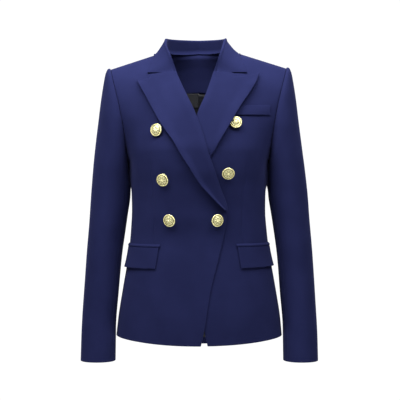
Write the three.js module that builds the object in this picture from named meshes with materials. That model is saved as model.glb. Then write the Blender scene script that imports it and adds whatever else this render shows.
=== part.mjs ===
// A woman's double breasted blazer, filled out as when worn and with nobody in it. Millimetres, +Z up.
// The wearer faces -Y, so the wearer's left side is at +X. The origin is between the shoulders,
// at the height of the neck points. Every cloth piece is a thin wall over one common torso form.
import * as THREE from "three";

// Cloth thicknesses and clearances
const PANEL_CLOTH = 2.0; // suiting with its interlining
const LAPEL_CLOTH = 2.4; // front and facing together
const COLLAR_CLOTH = 2.6;
const FLAP_CLOTH = 2.0;
const JET_CLOTH = 1.2;
const WELT_CLOTH = 1.6;
const FACING_CLOTH = 1.2;
const LINING_CLOTH = 1.0;
const LABEL_CLOTH = 1.0;
const SEAM_GAP = 0.3;
const INNER_GAP = 1.4; // between the back and what lines it
const FOLD_GAP = 0.8; // between the edge of a front and the fold of its lapel

// Torso, measured on the outer face of the cloth
const HEM_Z = -600; // at the side seams
const UNDERARM_Z = -230;
const UNDERARM_X = 148.5;
const FRONT_HEM_DROP = 12; // how much lower the hem is at the centre
const BACK_HEM_DROP = 33;
const SHOULDER = { x: 186, z: -37 };
const SHOULDER_LIFT = { right: -0.4, left: 2.2 }; // the left shoulder stands a little higher
const SHOULDER_RISE = 62.3; // from the shoulder point to where the shoulder lines would cross
const SHOULDER_SEAM_Y = 8; // how far behind the shoulder points the shoulder lines would cross
const ARMHOLE = { front: 54, back: 56, roundness: 2.1, scoop: 5 };
const NECK_HALF_WIDTH = 62;
const NECK_SHIFT = -5.5; // the neck stands a little towards the wearer's right
const BACK_NECK_LEVEL = 1.87;
const BACK_ROWS = { belowNeck: 22, neck: 8 };

// Half widths of the torso below the underarm, on the wearer's right and left
const SIDES = [
  { z: -602, right: 174.5, left: 177.0 },
  { z: -560, right: 169.8, left: 173.0 },
  { z: -500, right: 160.3, left: 163.5 },
  { z: -440, right: 150.3, left: 153.0 },
  { z: -385, right: 144.0, left: 145.5 },
  { z: -335, right: 141.5, left: 141.8 },
  { z: -290, right: 142.7, left: 142.7 },
  { z: -260, right: 145.0, left: 145.0 },
  { z: -230, right: 148.5, left: 148.5 },
];

// Depth of the torso at the centre, to the front and to the back
const CENTRE = [
  { z: -602, front: 128, back: 122 },
  { z: -560, front: 126, back: 119 },
  { z: -500, front: 121, back: 110 },
  { z: -440, front: 114, back: 96 },
  { z: -385, front: 108, back: 84 },
  { z: -335, front: 107, back: 79 },
  { z: -290, front: 111, back: 82 },
  { z: -250, front: 117, back: 88 },
  { z: -215, front: 117.5, back: 94 },
  { z: -180, front: 110, back: 98.5 },
  { z: -140, front: 96, back: 101 },
  { z: -100, front: 79.5, back: 101.5 },
  { z: -60, front: 61.5, back: 99 },
  { z: -30, front: 45.5, back: 93 },
  { z: -10, front: 31, back: 84 },
  { z: 8, front: 14, back: 66 },
  { z: 19, front: 1, back: 42 },
  { z: 25.3, front: -8, back: 8 },
];

// Superellipse exponents of the rows, by the rise of the armhole: 0 at and below the underarm
const ROUNDNESS = [
  { rise: 0, front: 2.35, back: 2.2 },
  { rise: 0.15, front: 2.2, back: 2.12 },
  { rise: 0.5, front: 1.8, back: 1.9 },
  { rise: 0.85, front: 1.5, back: 1.6 },
  { rise: 0.97, front: 1.26, back: 1.32 },
  { rise: 1, front: 1, back: 1 },
];

// Inner boundary of the overlapping front: cutaway edge, then the roll line, then the neckline
const EDGE_RIGHT = [
  { z: -615, x: 3.5 },
  { z: -570, x: 13.4 },
  { z: -529, x: 19.5 },
  { z: -490, x: 26.5 },
  { z: -462, x: 33.4 },
  { z: -428, x: 42.1 },
  { z: -385, x: 51.4 },
  { z: -352, x: 55.2 },
  { z: -338, x: 55.4 },
  { z: -319, x: 52.6 },
  { z: -286, x: 43.6 },
  { z: -256, x: 34.1 },
  { z: -223, x: 22.4 },
  { z: -173, x: 7.2 },
  { z: -135, x: -7.0 },
  { z: -96, x: -24.9 },
  { z: -50, x: -45.2 },
  { z: -18, x: -58.5 },
  { z: 4.5, x: -67.5 },
];

// The same for the front that lies beneath
const EDGE_LEFT = [
  { z: -615, x: 20.0 },
  { z: -578, x: 12.6 },
  { z: -529, x: 4.0 },
  { z: -490, x: -6.0 },
  { z: -462, x: -14.0 },
  { z: -428, x: -26.0 },
  { z: -385, x: -41.0 },
  { z: -352, x: -52.0 },
  { z: -338, x: -54.5 },
  { z: -319, x: -52.6 },
  { z: -286, x: -45.0 },
  { z: -256, x: -35.0 },
  { z: -223, x: -23.5 },
  { z: -173, x: -11.5 },
  { z: -133, x: -1.0 },
  { z: -96, x: 14.7 },
  { z: -50, x: 31.0 },
  { z: -18, x: 45.5 },
  { z: 4.5, x: 56.5 },
];

// Lapels: from the gorge (along 0) to the foot of the roll line (along 1), the roll and the outer edge
const LAPEL_RIGHT = [
  { along: 0.0, rollZ: -50.4, edgeX: -127.5, edgeZ: -64.8 },
  { along: 0.08, rollZ: -66.0, edgeX: -124.0, edgeZ: -72.5 },
  { along: 0.2, rollZ: -96.0, edgeX: -110.0, edgeZ: -97.0 },
  { along: 0.33, rollZ: -135.0, edgeX: -92.0, edgeZ: -128.5 },
  { along: 0.46, rollZ: -173.0, edgeX: -73.5, edgeZ: -161.0 },
  { along: 0.6, rollZ: -221.0, edgeX: -48.0, edgeZ: -198.5 },
  { along: 0.73, rollZ: -256.0, edgeX: -22.0, edgeZ: -241.0 },
  { along: 0.84, rollZ: -286.0, edgeX: 5.0, edgeZ: -282.0 },
  { along: 0.94, rollZ: -317.0, edgeX: 37.0, edgeZ: -319.5 },
  { along: 1.0, rollZ: -337.0, edgeX: 50.5, edgeZ: -334.5 },
];
const LAPEL_LEFT = [
  { along: 0.0, rollZ: -50.4, edgeX: 126.0, edgeZ: -51.8 },
  { along: 0.08, rollZ: -66.0, edgeX: 118.5, edgeZ: -70.5 },
  { along: 0.2, rollZ: -96.0, edgeX: 104.0, edgeZ: -94.5 },
  { along: 0.33, rollZ: -133.0, edgeX: 84.0, edgeZ: -123.5 },
  { along: 0.46, rollZ: -173.0, edgeX: 61.5, edgeZ: -162.0 },
  { along: 0.6, rollZ: -221.0, edgeX: 36.0, edgeZ: -206.0 },
  { along: 0.73, rollZ: -256.0, edgeX: 10.0, edgeZ: -248.0 },
  { along: 0.84, rollZ: -286.0, edgeX: -14.0, edgeZ: -284.0 },
  { along: 0.94, rollZ: -317.0, edgeX: -39.0, edgeZ: -318.5 },
  { along: 1.0, rollZ: -337.0, edgeX: -50.0, edgeZ: -334.5 },
];
const ROLL_SETBACK = 3.6; // how far the fold of a lapel reaches past the roll line of its front
const GORGE_BOW = { right: 3.5, left: -2 }; // upward bow of the lapel's top edge
const COLLAR_TIP = { right: { x: -106, z: -49.5 }, left: { x: 101, z: -48.8 } };

// Collar, from the centre back (along 0) through the neck point to the gorge (1)
const COLLAR_CELLS = { back: 8, front: 5 }; // on each side
const NECK_POINT_ALONG = COLLAR_CELLS.back / (COLLAR_CELLS.back + COLLAR_CELLS.front);
const COLLAR = [
  { along: 0.0, rollZ: 29.4, leanRight: 6, leanLeft: 6, edgeX: 0, edgeZ: -12 },
  { along: 0.2, rollZ: 29.2, leanRight: 6, leanLeft: 6, edgeX: 36, edgeZ: -13 },
  { along: 0.4, rollZ: 28.4, leanRight: 4, leanLeft: 4, edgeX: 68, edgeZ: -13.5 },
  { along: NECK_POINT_ALONG, rollZ: 26.6, leanRight: 0.5, leanLeft: 1, edgeX: 88.5, edgeZ: -6.5 },
  { along: 0.7, rollZ: 12.5, leanRight: -4.5, leanLeft: 0, edgeX: 90, edgeZ: -11 },
  { along: 0.77, rollZ: -1.5, leanRight: -2.3, leanLeft: 0.2, edgeX: 91.5, edgeZ: -17 },
  { along: 0.85, rollZ: -17, leanRight: 0.3, leanLeft: 1.1, edgeX: 93.5, edgeZ: -27 },
  { along: 0.93, rollZ: -33, leanRight: 2.4, leanLeft: 2.1, edgeX: 98, edgeZ: -39 },
  { along: 1.0, rollZ: -48, leanRight: 3.2, leanLeft: 3.2, edgeX: 104, edgeZ: -49 },
];
const COLLAR_FORWARD = 10; // how far the roll leans forward of the seam between neck point and gorge
const COLLAR_FOLD_RADIUS = 2.4;
const COLLAR_LEAF_BULGE = { back: 3, front: -1 };

// Sleeve rings, from the armhole (along 0) to the cuff (1)
const SLEEVE = [
  { along: 0.0, outerX: 186.7, outerZ: -36.9, innerX: 149.2, innerZ: -230.2, front: 54, back: 56, y: 0, scoop: 5 },
  { along: 0.04, outerX: 191.5, outerZ: -35.3, innerX: 149.4, innerZ: -232.5, front: 57, back: 58.5, y: 0, scoop: 4 },
  { along: 0.08, outerX: 197.0, outerZ: -44, innerX: 149.0, innerZ: -236, front: 59.5, back: 61, y: 0, scoop: 3 },
  { along: 0.13, outerX: 202.3, outerZ: -70, innerX: 148.5, innerZ: -241, front: 61, back: 62, y: 0, scoop: 1.5 },
  { along: 0.19, outerX: 207.6, outerZ: -105, innerX: 147.9, innerZ: -247, front: 61.5, back: 62.5, y: 0, scoop: 0.5 },
  { along: 0.26, outerX: 213.2, outerZ: -150, innerX: 147.4, innerZ: -254, front: 61, back: 62, y: 1, scoop: 0 },
  { along: 0.33, outerX: 219.4, outerZ: -200, innerX: 146.9, innerZ: -262, front: 60, back: 61, y: 2, scoop: 0 },
  { along: 0.4, outerX: 225.3, outerZ: -250, innerX: 146.4, innerZ: -276, front: 58.5, back: 59, y: 3, scoop: 0 },
  { along: 0.48, outerX: 230.6, outerZ: -305, innerX: 147.6, innerZ: -305, front: 57, back: 57, y: 4, scoop: 0 },
  { along: 0.56, outerX: 234.3, outerZ: -355, innerX: 153.0, innerZ: -350, front: 55.5, back: 55.5, y: 3, scoop: 0 },
  { along: 0.67, outerX: 240.4, outerZ: -430, innerX: 164.0, innerZ: -425, front: 53, back: 53, y: -2, scoop: 0 },
  { along: 0.79, outerX: 245.3, outerZ: -515, innerX: 171.3, innerZ: -511, front: 50, back: 50, y: -9, scoop: 0 },
  { along: 0.9, outerX: 249.1, outerZ: -590, innerX: 176.7, innerZ: -588, front: 47.5, back: 47, y: -17, scoop: 0 },
  { along: 1.0, outerX: 250.6, outerZ: -652, innerX: 176.8, innerZ: -652, front: 45.5, back: 44.5, y: -25, scoop: 0 },
];
const SLEEVE_SWING = 2; // both sleeves hang this far towards the wearer's left
const SLEEVE_FRONT_SEAM = 0.8; // as parts of a half turn from the sleeve's outer line
const SLEEVE_BACK_SEAM = -0.62;

// Pockets
const FLAP_PLACE = {
  right: { topZ: -411, depth: 43.5, outerDrop: 1.5 },
  left: { topZ: -409.5, depth: 43.5, outerDrop: 0 },
};
const FLAP = { innerX: 80, innerSlant: 7.5, outerTheta: 0.1, lift: 0.6, cornerLift: 2.2 };
const JET_HEIGHT = 5.5;
const CHEST_WELT = { innerX: 66, outerX: 148.4, topZ: -119.2, height: 18.3, slant: 1.8 };

// Buttons: place on the front, and the way each face looks as it hangs from its shank
const BUTTONS = [
  { name: "button_top_right", x: -82.6, z: -173.1, faceX: -0.46, faceZ: 0.06 },
  { name: "button_middle_right", x: -69.4, z: -271.9, faceX: -0.4, faceZ: -0.26 },
  { name: "button_bottom_right", x: -56.3, z: -356.3, faceX: -0.38, faceZ: -0.22 },
  { name: "button_top_left", x: 76.0, z: -156.2, faceX: 0.14, faceZ: 0.34 },
  { name: "button_middle_left", x: 60.4, z: -258.9, faceX: 0.1, faceZ: -0.43 },
  { name: "button_bottom_left", x: 36.1, z: -356.4, faceX: 0.4, faceZ: -0.12 },
];
const BUTTON = { radius: 13, shankRadius: 2.4, shankHeight: 4.2, rimWidth: 1.8, petals: 8, petalRise: 0.5 };
const BUTTON_SEGMENTS = 24;

// Inner pieces that show through the neck and between the fronts
const FACING_FOOT_ROW = 17; // row of the back at which the facing meets the lining
const LINING_FOOT_LEVEL = 0.03;
const LINING_LEFT_OUT = 1; // columns of the back left bare at each side
const FACING_REACH = 0.96; // as a share of the neckline from neck point to neck point
const FACING_BELOW_SEAM = 0.006; // in levels
const LABEL = { fromX: -56, toX: 0, topZ: -82, footZ: -114 };

// How many cells each wall has
const CELLS = {
  front: [12, 26],
  back: 8,
  sleeveTop: [16, 15],
  sleeveUnder: [7, 15],
  lapel: [8, 18],
  lapelFold: 4,
  collarLeaf: 4,
  collarFold: 4,
  collarStand: 2,
  flap: [8, 3],
  welt: [6, 1],
  facing: [16, 6],
  label: [4, 2],
};

const CLOTH_COLOUR = 0x25295a;
const LINING_COLOUR = 0x1b1c22;
const GOLD_COLOUR = 0xd8c064;

const clamp = (value, low, high) => Math.min(high, Math.max(low, value));
const lerp = (a, b, share) => a + (b - a) * share;

function smoothStep(from, to, value) {
  const t = clamp((value - from) / (to - from), 0, 1);
  return t * t * (3 - 2 * t);
}

// A smooth function through one column of a table, with no overshoot between its rows.
function column(rows, key, name) {
  const at = rows.map((row) => row[key]);
  const value = rows.map((row) => row[name]);
  const last = at.length - 1;
  const slope = at.slice(1).map((a, i) => (value[i + 1] - value[i]) / (a - at[i]));
  const tangent = at.map((_, i) => {
    if (i === 0) return slope[0];
    if (i === last) return slope[last - 1];
    const [before, after] = [slope[i - 1], slope[i]];
    return before * after <= 0 ? 0 : (2 * before * after) / (before + after);
  });
  return (asked) => {
    if (asked <= at[0]) return value[0];
    if (asked >= at[last]) return value[last];
    const i = at.findIndex((a) => a >= asked) - 1;
    const h = at[i + 1] - at[i];
    const s = (asked - at[i]) / h;
    return (
      value[i] * (1 + 2 * s) * (1 - s) ** 2 +
      value[i + 1] * s * s * (3 - 2 * s) +
      h * tangent[i] * s * (1 - s) ** 2 +
      h * tangent[i + 1] * s * s * (s - 1)
    );
  };
}

// Every column of a table as a function of its key.
function columns(rows, key) {
  const names = Object.keys(rows[0]).filter((name) => name !== key);
  return Object.fromEntries(names.map((name) => [name, column(rows, key, name)]));
}

const halfWidth = columns(SIDES, "z");
const centre = columns(CENTRE, "z");
const roundness = columns(ROUNDNESS, "rise");
const rightEdge = column(EDGE_RIGHT, "z", "x");
const leftEdge = column(EDGE_LEFT, "z", "x");
// The tables follow the visible line, which above the lapel's foot is the outside of its fold
const setback = (z) => ROLL_SETBACK * smoothStep(-332, -290, z) * (1 - smoothStep(-44, 2, z));
const edgeRight = (z) => rightEdge(z) - setback(z);
const edgeLeft = (z) => leftEdge(z) + setback(z);
const sleeve = columns(SLEEVE, "along");
const collar = columns(COLLAR, "along");

// Height share of the armhole at a level: 0 at the underarm, 1 at the shoulder point
function armholeRise(level) {
  const turn = Math.cos(Math.PI * (2 - level));
  return level <= 1 ? 0 : (1 + Math.sign(turn) * Math.abs(turn) ** (2 / ARMHOLE.roundness)) / 2;
}

// The armhole on the wearer's left, from the underarm (level 1) to the shoulder point (level 2).
function armhole(level, isBack) {
  const rise = armholeRise(level);
  const depth = Math.abs(Math.sin(Math.PI * (2 - level))) ** (2 / ARMHOLE.roundness);
  return new THREE.Vector3(
    lerp(UNDERARM_X, SHOULDER.x, rise) - ARMHOLE.scoop * Math.sin(Math.PI * rise),
    isBack ? ARMHOLE.back * depth : -ARMHOLE.front * depth,
    lerp(UNDERARM_Z, SHOULDER.z, rise),
  );
}

// Where a row of the torso starts at the side, and where it meets the centre.
function rowEnds(level, isBack, isLeft) {
  const share = Math.max(0, level - 1);
  const low = lerp(HEM_Z, UNDERARM_Z, level);
  const width = isLeft ? halfWidth.left(low) : halfWidth.right(low);
  const side = level <= 1 ? new THREE.Vector3(width, 0, low) : armhole(level, isBack);
  const z = side.z + SHOULDER_RISE * share ** 1.5;
  const drop = level <= 1 ? (isBack ? BACK_HEM_DROP : FRONT_HEM_DROP) * (1 - level) ** 3 : 0;
  const depth = isBack ? centre.back(z) : -centre.front(z);
  return { side, centre: new THREE.Vector3(0, depth, z - drop), bow: 2 - share };
}

function exponentAt(level, isBack) {
  return roundness[isBack ? "back" : "front"](armholeRise(level));
}

// A point of the torso form. Theta 0 is the wearer's left side, a half turn is the right side.
function formPoint(theta, level, isBack) {
  const cos = Math.cos(theta);
  const { side, centre: middle, bow } = rowEnds(level, isBack, cos > 0);
  const exponent = exponentAt(level, isBack);
  const rise = armholeRise(level);
  const x = Math.sign(cos) * Math.abs(cos) ** (2 / exponent);
  // Low rows carry on past the armhole's edge, high rows start at it
  const cut = clamp(side.y / middle.y, 0, 0.9) ** exponent;
  const fromEdge = lerp(side.y, middle.y, Math.abs(Math.sin(theta)) ** (2 / exponent));
  const carriedOn = middle.y * (1 - (1 - cut) * Math.abs(x) ** exponent) ** (1 / exponent);
  const lift = Math.abs(x) * rise * (cos > 0 ? SHOULDER_LIFT.left : SHOULDER_LIFT.right);
  return new THREE.Vector3(
    side.x * x,
    lerp(carriedOn, fromEdge, smoothStep(0.25, 0.85, rise)),
    lerp(side.z, middle.z, 1 - Math.abs(x) ** bow) + lift,
  );
}

// The turn at which a row reaches a given x.
function thetaAt(x, level, isBack) {
  const { side } = rowEnds(level, isBack, x > 0);
  const share = clamp(x / side.x, -1, 1);
  return Math.acos(Math.sign(share) * Math.abs(share) ** (exponentAt(level, isBack) / 2));
}

// The outward direction of the torso form. At the shoulder seam it has no tilt to front or back.
function formNormal(theta, level, isBack) {
  const step = 1e-3;
  const [t0, t1] = [Math.max(0, theta - step), Math.min(Math.PI, theta + step)];
  const [v0, v1] = [Math.max(0, level - step), Math.min(2, level + step)];
  const across = formPoint(t1, level, isBack).sub(formPoint(t0, level, isBack));
  const up = formPoint(theta, v1, isBack).sub(formPoint(theta, v0, isBack));
  const normal = across.cross(up).normalize();
  if (!isBack) normal.negate();
  normal.y *= 1 - smoothStep(1.9, 2, level);
  return normal.normalize();
}

// The same form reached by x and z instead of by turn and level.
function formAt(x, z, isBack) {
  let [low, high] = [0, 2];
  for (let i = 0; i < 30; i++) {
    const middle = (low + high) / 2;
    if (formPoint(thetaAt(x, middle, isBack), middle, isBack).z < z) low = middle;
    else high = middle;
  }
  const level = (low + high) / 2;
  const theta = thetaAt(x, level, isBack);
  return { theta, level, point: formPoint(theta, level, isBack), normal: formNormal(theta, level, isBack) };
}

// How far the overlapping front stands off the form, to clear the other front and its lapel.
function overlapOffset(x, z) {
  const lowFade = 1 - smoothStep(-125, -40, z);
  const overFront = smoothStep(-124, -66, x) * lowFade;
  const overLapel = smoothStep(-118, -68, x) * smoothStep(-392, -345, z) * (1 - smoothStep(-125, -60, z));
  return 2.8 * overFront + 4.0 * overLapel;
}

const offsetOf = { right: overlapOffset, left: () => 0 };
const edgeOf = { right: edgeRight, left: edgeLeft };

// A closed wall from a grid of outer points and outward directions.
function wall(rows, thickness) {
  const [nRows, nColumns] = [rows.length, rows[0].length];
  const outer = rows.flat().map((cell) => cell.point);
  const inner = rows.flat().map((cell) => cell.point.clone().addScaledVector(cell.normal, -thickness));
  const all = [...outer, ...inner];
  const faces = [];
  const index = (row, col) => row * nColumns + col;
  const half = outer.length;
  const quad = (a, b, c, d) => faces.push(a, b, c, a, c, d);
  for (let r = 0; r < nRows - 1; r++)
    for (let c = 0; c < nColumns - 1; c++) {
      const [a, b, d, e] = [index(r, c), index(r, c + 1), index(r + 1, c + 1), index(r + 1, c)];
      quad(a, b, d, e);
      quad(half + a, half + e, half + d, half + b);
    }
  const rim = [];
  for (let c = 0; c < nColumns - 1; c++) rim.push(index(0, c));
  for (let r = 0; r < nRows - 1; r++) rim.push(index(r, nColumns - 1));
  for (let c = nColumns - 1; c > 0; c--) rim.push(index(nRows - 1, c));
  for (let r = nRows - 1; r > 0; r--) rim.push(index(r, 0));
  rim.forEach((a, i) => {
    const b = rim[(i + 1) % rim.length];
    quad(b, a, half + a, half + b);
  });
  return closedGeometry(all, faces);
}

// Turns the faces outwards if the first guess was inside out.
function closedGeometry(points, faces) {
  let volume = 0;
  for (let i = 0; i < faces.length; i += 3) {
    const [a, b, c] = faces.slice(i, i + 3).map((k) => points[k]);
    volume += a.dot(b.clone().cross(c));
  }
  if (volume < 0) for (let i = 0; i < faces.length; i += 3) [faces[i], faces[i + 1]] = [faces[i + 1], faces[i]];
  const geometry = new THREE.BufferGeometry();
  geometry.setAttribute("position", new THREE.Float32BufferAttribute(points.flatMap((p) => p.toArray()), 3));
  geometry.setIndex(faces);
  geometry.computeVertexNormals();
  return geometry;
}

// A grid of cells: cellAt(across, along) with both from 0 to 1.
function grid([nAcross, nAlong], cellAt) {
  return Array.from({ length: nAlong + 1 }, (_, r) =>
    Array.from({ length: nAcross + 1 }, (_, c) => cellAt(c / nAcross, r / nAlong)),
  );
}

function offsetCell({ point, normal }, offset) {
  return { point: point.clone().addScaledVector(normal, offset), normal };
}

const group = new THREE.Group();
const clothMaterial = new THREE.MeshStandardMaterial({ color: CLOTH_COLOUR, roughness: 0.85, metalness: 0 });
const liningMaterial = new THREE.MeshStandardMaterial({ color: LINING_COLOUR, roughness: 0.5, metalness: 0 });
const goldMaterial = new THREE.MeshStandardMaterial({ color: GOLD_COLOUR, roughness: 0.3, metalness: 1 });

function add(name, geometry, material = clothMaterial) {
  const mesh = new THREE.Mesh(geometry, material.clone());
  mesh.name = name;
  group.add(mesh);
  return mesh;
}

// The turn at which a front's row meets its own inner boundary.
function frontInnerTheta(side, level) {
  const edge = edgeOf[side];
  let z = rowEnds(level, false, true).side.z;
  let theta = 0;
  for (let i = 0; i < 12; i++) {
    theta = thetaAt(edge(z), level, false);
    z = formPoint(theta, level, false).z;
  }
  return theta;
}

// At the armhole the edge of a panel stays on the seam, clear of the sleeve.
function turnToSeam(normal, side, level) {
  const sign = side === "right" ? -1 : 1;
  const outwards = new THREE.Vector3(sign * (SHOULDER.z - UNDERARM_Z), 0, UNDERARM_X - SHOULDER.x).normalize();
  return normal.addScaledVector(outwards, -normal.dot(outwards) * smoothStep(1.3, 1.6, level)).normalize();
}

// Level of a row of a front. The rows are closer together at the bust.
function frontRowLevel(along) {
  if (along >= 0.46) return 1 + (along - 0.46) / 0.54;
  const below = 1 - along / 0.46;
  return 1 - below * (0.55 + 0.45 * below);
}

// Fronts, from the side seam and armhole to the edge, the roll line and the neckline
function frontPanel(side) {
  const sideTheta = side === "right" ? Math.PI : 0;
  return grid(CELLS.front, (across, along) => {
    const level = frontRowLevel(along);
    const theta = lerp(sideTheta, frontInnerTheta(side, level), across);
    const point = formPoint(theta, level, false);
    const normal = formNormal(theta, level, false);
    if (across === 0) turnToSeam(normal, side, level);
    const offset = offsetOf[side](point.x, point.z);
    point.y -= SEAM_GAP / 2;
    return offsetCell({ point, normal }, offset);
  });
}

// Half width of the back neckline at a level, 0 at the centre back and 1 at the neck point
function backNeckShare(level) {
  const below = clamp((2 - level) / (2 - BACK_NECK_LEVEL), 0, 1);
  return (1 - below * below) ** 0.7;
}

function backNeckX(side, level) {
  const sign = side === "right" ? -1 : 1;
  return (sign * NECK_HALF_WIDTH + NECK_SHIFT) * backNeckShare(level);
}

// Back halves, joined at the centre back seam
function backPanel(side) {
  const sign = side === "right" ? -1 : 1;
  return grid([CELLS.back, BACK_ROWS.belowNeck + BACK_ROWS.neck], (across, along) => {
    const level = backRowLevel(Math.round(along * (BACK_ROWS.belowNeck + BACK_ROWS.neck)));
    const outerTheta = side === "right" ? Math.PI : 0;
    const innerTheta = level <= BACK_NECK_LEVEL ? Math.PI / 2 : thetaAt(backNeckX(side, level), level, true);
    const theta = lerp(outerTheta, innerTheta, across);
    const point = formPoint(theta, level, true);
    const normal = formNormal(theta, level, true);
    if (level <= BACK_NECK_LEVEL && across === 1) {
      normal.x = 0;
      normal.normalize();
    }
    if (across === 0) turnToSeam(normal, side, level);
    point.x += (sign * across * SEAM_GAP) / 2;
    point.y += SEAM_GAP / 2;
    return { point, normal };
  });
}

// A point of a sleeve on the wearer's left. Turn 0 is its outer line, a quarter turn its front.
function sleevePoint(turn, along) {
  const outer = new THREE.Vector3(sleeve.outerX(along), 0, sleeve.outerZ(along));
  const inner = new THREE.Vector3(sleeve.innerX(along), 0, sleeve.innerZ(along));
  const power = 2 / ARMHOLE.roundness;
  const cos = Math.sign(Math.cos(turn)) * Math.abs(Math.cos(turn)) ** power;
  const sin = Math.sign(Math.sin(turn)) * Math.abs(Math.sin(turn)) ** power;
  const point = inner.lerp(outer, (1 + cos) / 2);
  point.x -= sleeve.scoop(along) * Math.sin((Math.PI * (1 + cos)) / 2);
  point.y = sleeve.y(along) - (sin > 0 ? sleeve.front(along) : sleeve.back(along)) * sin;
  return point;
}

function sleeveCell(turn, along, side) {
  const step = 1e-3;
  const [a0, a1] = [Math.max(0, along - step), Math.min(1, along + step)];
  const around = sleevePoint(turn + step, along).sub(sleevePoint(turn - step, along));
  const down = sleevePoint(turn, a1).sub(sleevePoint(turn, a0));
  const normal = around.cross(down).normalize();
  const point = sleevePoint(turn, along);
  const centre = sleevePoint(0, along).add(sleevePoint(Math.PI, along)).multiplyScalar(0.5);
  if (normal.dot(point.clone().sub(centre)) < 0) normal.negate();
  if (along === 0) {
    // At the armhole the wall stays in the plane of the seam
    const plane = new THREE.Vector3(SHOULDER.z - UNDERARM_Z, 0, UNDERARM_X - SHOULDER.x).normalize();
    normal.addScaledVector(plane, -normal.dot(plane)).normalize();
  }
  const share = (1 + Math.cos(turn)) / 2;
  point.z += SHOULDER_LIFT[side] * share * (1 - smoothStep(0, 0.5, along));
  if (side === "right") {
    point.x *= -1;
    normal.x *= -1;
  }
  point.x += SLEEVE_SWING * smoothStep(0.1, 0.5, along);
  return { point, normal };
}

function sleeveWall(side, piece) {
  const gap = SEAM_GAP / 2 / sleeve.front(0.5);
  const front = Math.PI * SLEEVE_FRONT_SEAM;
  const back = Math.PI * SLEEVE_BACK_SEAM;
  const [from, to, cells] =
    piece === "top"
      ? [back + gap, front - gap, CELLS.sleeveTop]
      : [front + gap, back + 2 * Math.PI - gap, CELLS.sleeveUnder];
  return grid(cells, (across, along) => sleeveCell(lerp(from, to, across), along, side));
}

// How far the inner face of a lapel stands off its own front
function lapelClearance(side, x, z, across) {
  if (side === "right") return 1.1 + 2.0 * across * across;
  const visible = smoothStep(8, 40, x - edgeRight(z));
  const overButton = Math.exp(-(((x - 72) / 26) ** 2) - ((z + 148) / 34) ** 2);
  return 1.5 + visible * (1.8 + 4.6 * overButton) * smoothStep(0, 0.6, across);
}

// The lapel's outline in front view
function lapelPlace(side, table, across, along) {
  const bow = GORGE_BOW[side] * Math.sin(Math.PI * across) * (1 - smoothStep(0, 0.15, along));
  return {
    x: lerp(edgeOf[side](table.rollZ(along)), table.edgeX(along), across),
    z: lerp(table.rollZ(along), table.edgeZ(along), across) + bow,
  };
}

// Lapels: folded over at the roll line, then lying on the chest
function lapelWall(side) {
  const table = columns(side === "right" ? LAPEL_RIGHT : LAPEL_LEFT, "along");
  const [nAcross, nAlong] = CELLS.lapel;
  return Array.from({ length: nAlong + 1 }, (_, r) => {
    const along = r / nAlong;
    const roll = lapelPlace(side, table, 0, along);
    const next = lapelPlace(side, table, 0.1, along);
    const form = formAt(roll.x, roll.z, false);
    const away = form.point.clone().sub(formAt(next.x, next.z, false).point).normalize();
    away.addScaledVector(form.normal, -away.dot(form.normal)).normalize();
    const base = offsetOf[side](roll.x, roll.z);
    const top = base + lapelClearance(side, roll.x, roll.z, 0) + LAPEL_CLOTH;
    const foot = base - PANEL_CLOTH;
    const radius = (top - foot) / 2;
    const fold = Array.from({ length: CELLS.lapelFold }, (_, k) => {
      const turn = Math.PI * (1 - k / CELLS.lapelFold);
      const point = form.point
        .clone()
        .addScaledVector(form.normal, foot + radius + radius * Math.cos(turn))
        .addScaledVector(away, FOLD_GAP + radius * Math.sin(turn));
      const normal = form.normal.clone().multiplyScalar(Math.cos(turn)).addScaledVector(away, Math.sin(turn));
      return { point, normal };
    });
    const leaf = Array.from({ length: nAcross + 1 }, (_, c) => {
      const across = c / nAcross;
      const { x, z } = lapelPlace(side, table, across, along);
      const cell = formAt(x, z, false);
      const offset = offsetOf[side](x, z) + lapelClearance(side, x, z, across) + LAPEL_CLOTH;
      return offsetCell(cell, offset);
    });
    return [...fold, ...leaf];
  });
}

// The seam line that the collar is sewn to, on one side, outside the cloth of the panels
function neckSeam(side, along) {
  if (along <= NECK_POINT_ALONG) {
    const turn = ((along / NECK_POINT_ALONG) * Math.PI) / 2;
    const level = 2 - (2 - BACK_NECK_LEVEL) * Math.cos(turn);
    const theta = thetaAt(backNeckX(side, level), level, true);
    return { point: formPoint(theta, level, true), normal: formNormal(theta, level, true) };
  }
  const share = (along - NECK_POINT_ALONG) / (1 - NECK_POINT_ALONG);
  const z = lerp(4.4, -49.6, share);
  return formAt(edgeOf[side](z), z, false);
}

// Keeps a point of the collar's leaf clear of the shoulder beneath it.
function seated(point, least) {
  const isBack = point.y > SHOULDER_SEAM_Y;
  const topZ = formPoint(thetaAt(point.x, 2, isBack), 2, isBack).z;
  const { point: ground, normal } = formAt(point.x, Math.min(point.z, topZ - 0.5), isBack);
  const height = point.clone().sub(ground).dot(normal);
  return height < least ? point.addScaledVector(normal, least - height) : point;
}

// The collar's outer edge
function collarEdge(side, along) {
  const sign = side === "right" ? -1 : 1;
  const end = smoothStep(0.8, 1, along);
  const shift = 0.5 * NECK_SHIFT * smoothStep(0, 0.4, along);
  const x = lerp(sign * collar.edgeX(along) + shift, COLLAR_TIP[side].x, end);
  const z = lerp(collar.edgeZ(along), COLLAR_TIP[side].z, end);
  const isBack = along < NECK_POINT_ALONG;
  const { point, normal } = formAt(x, z, isBack);
  return point.addScaledVector(normal, offsetOf[side](x, z) + COLLAR_CLOTH + 1.2);
}

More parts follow.
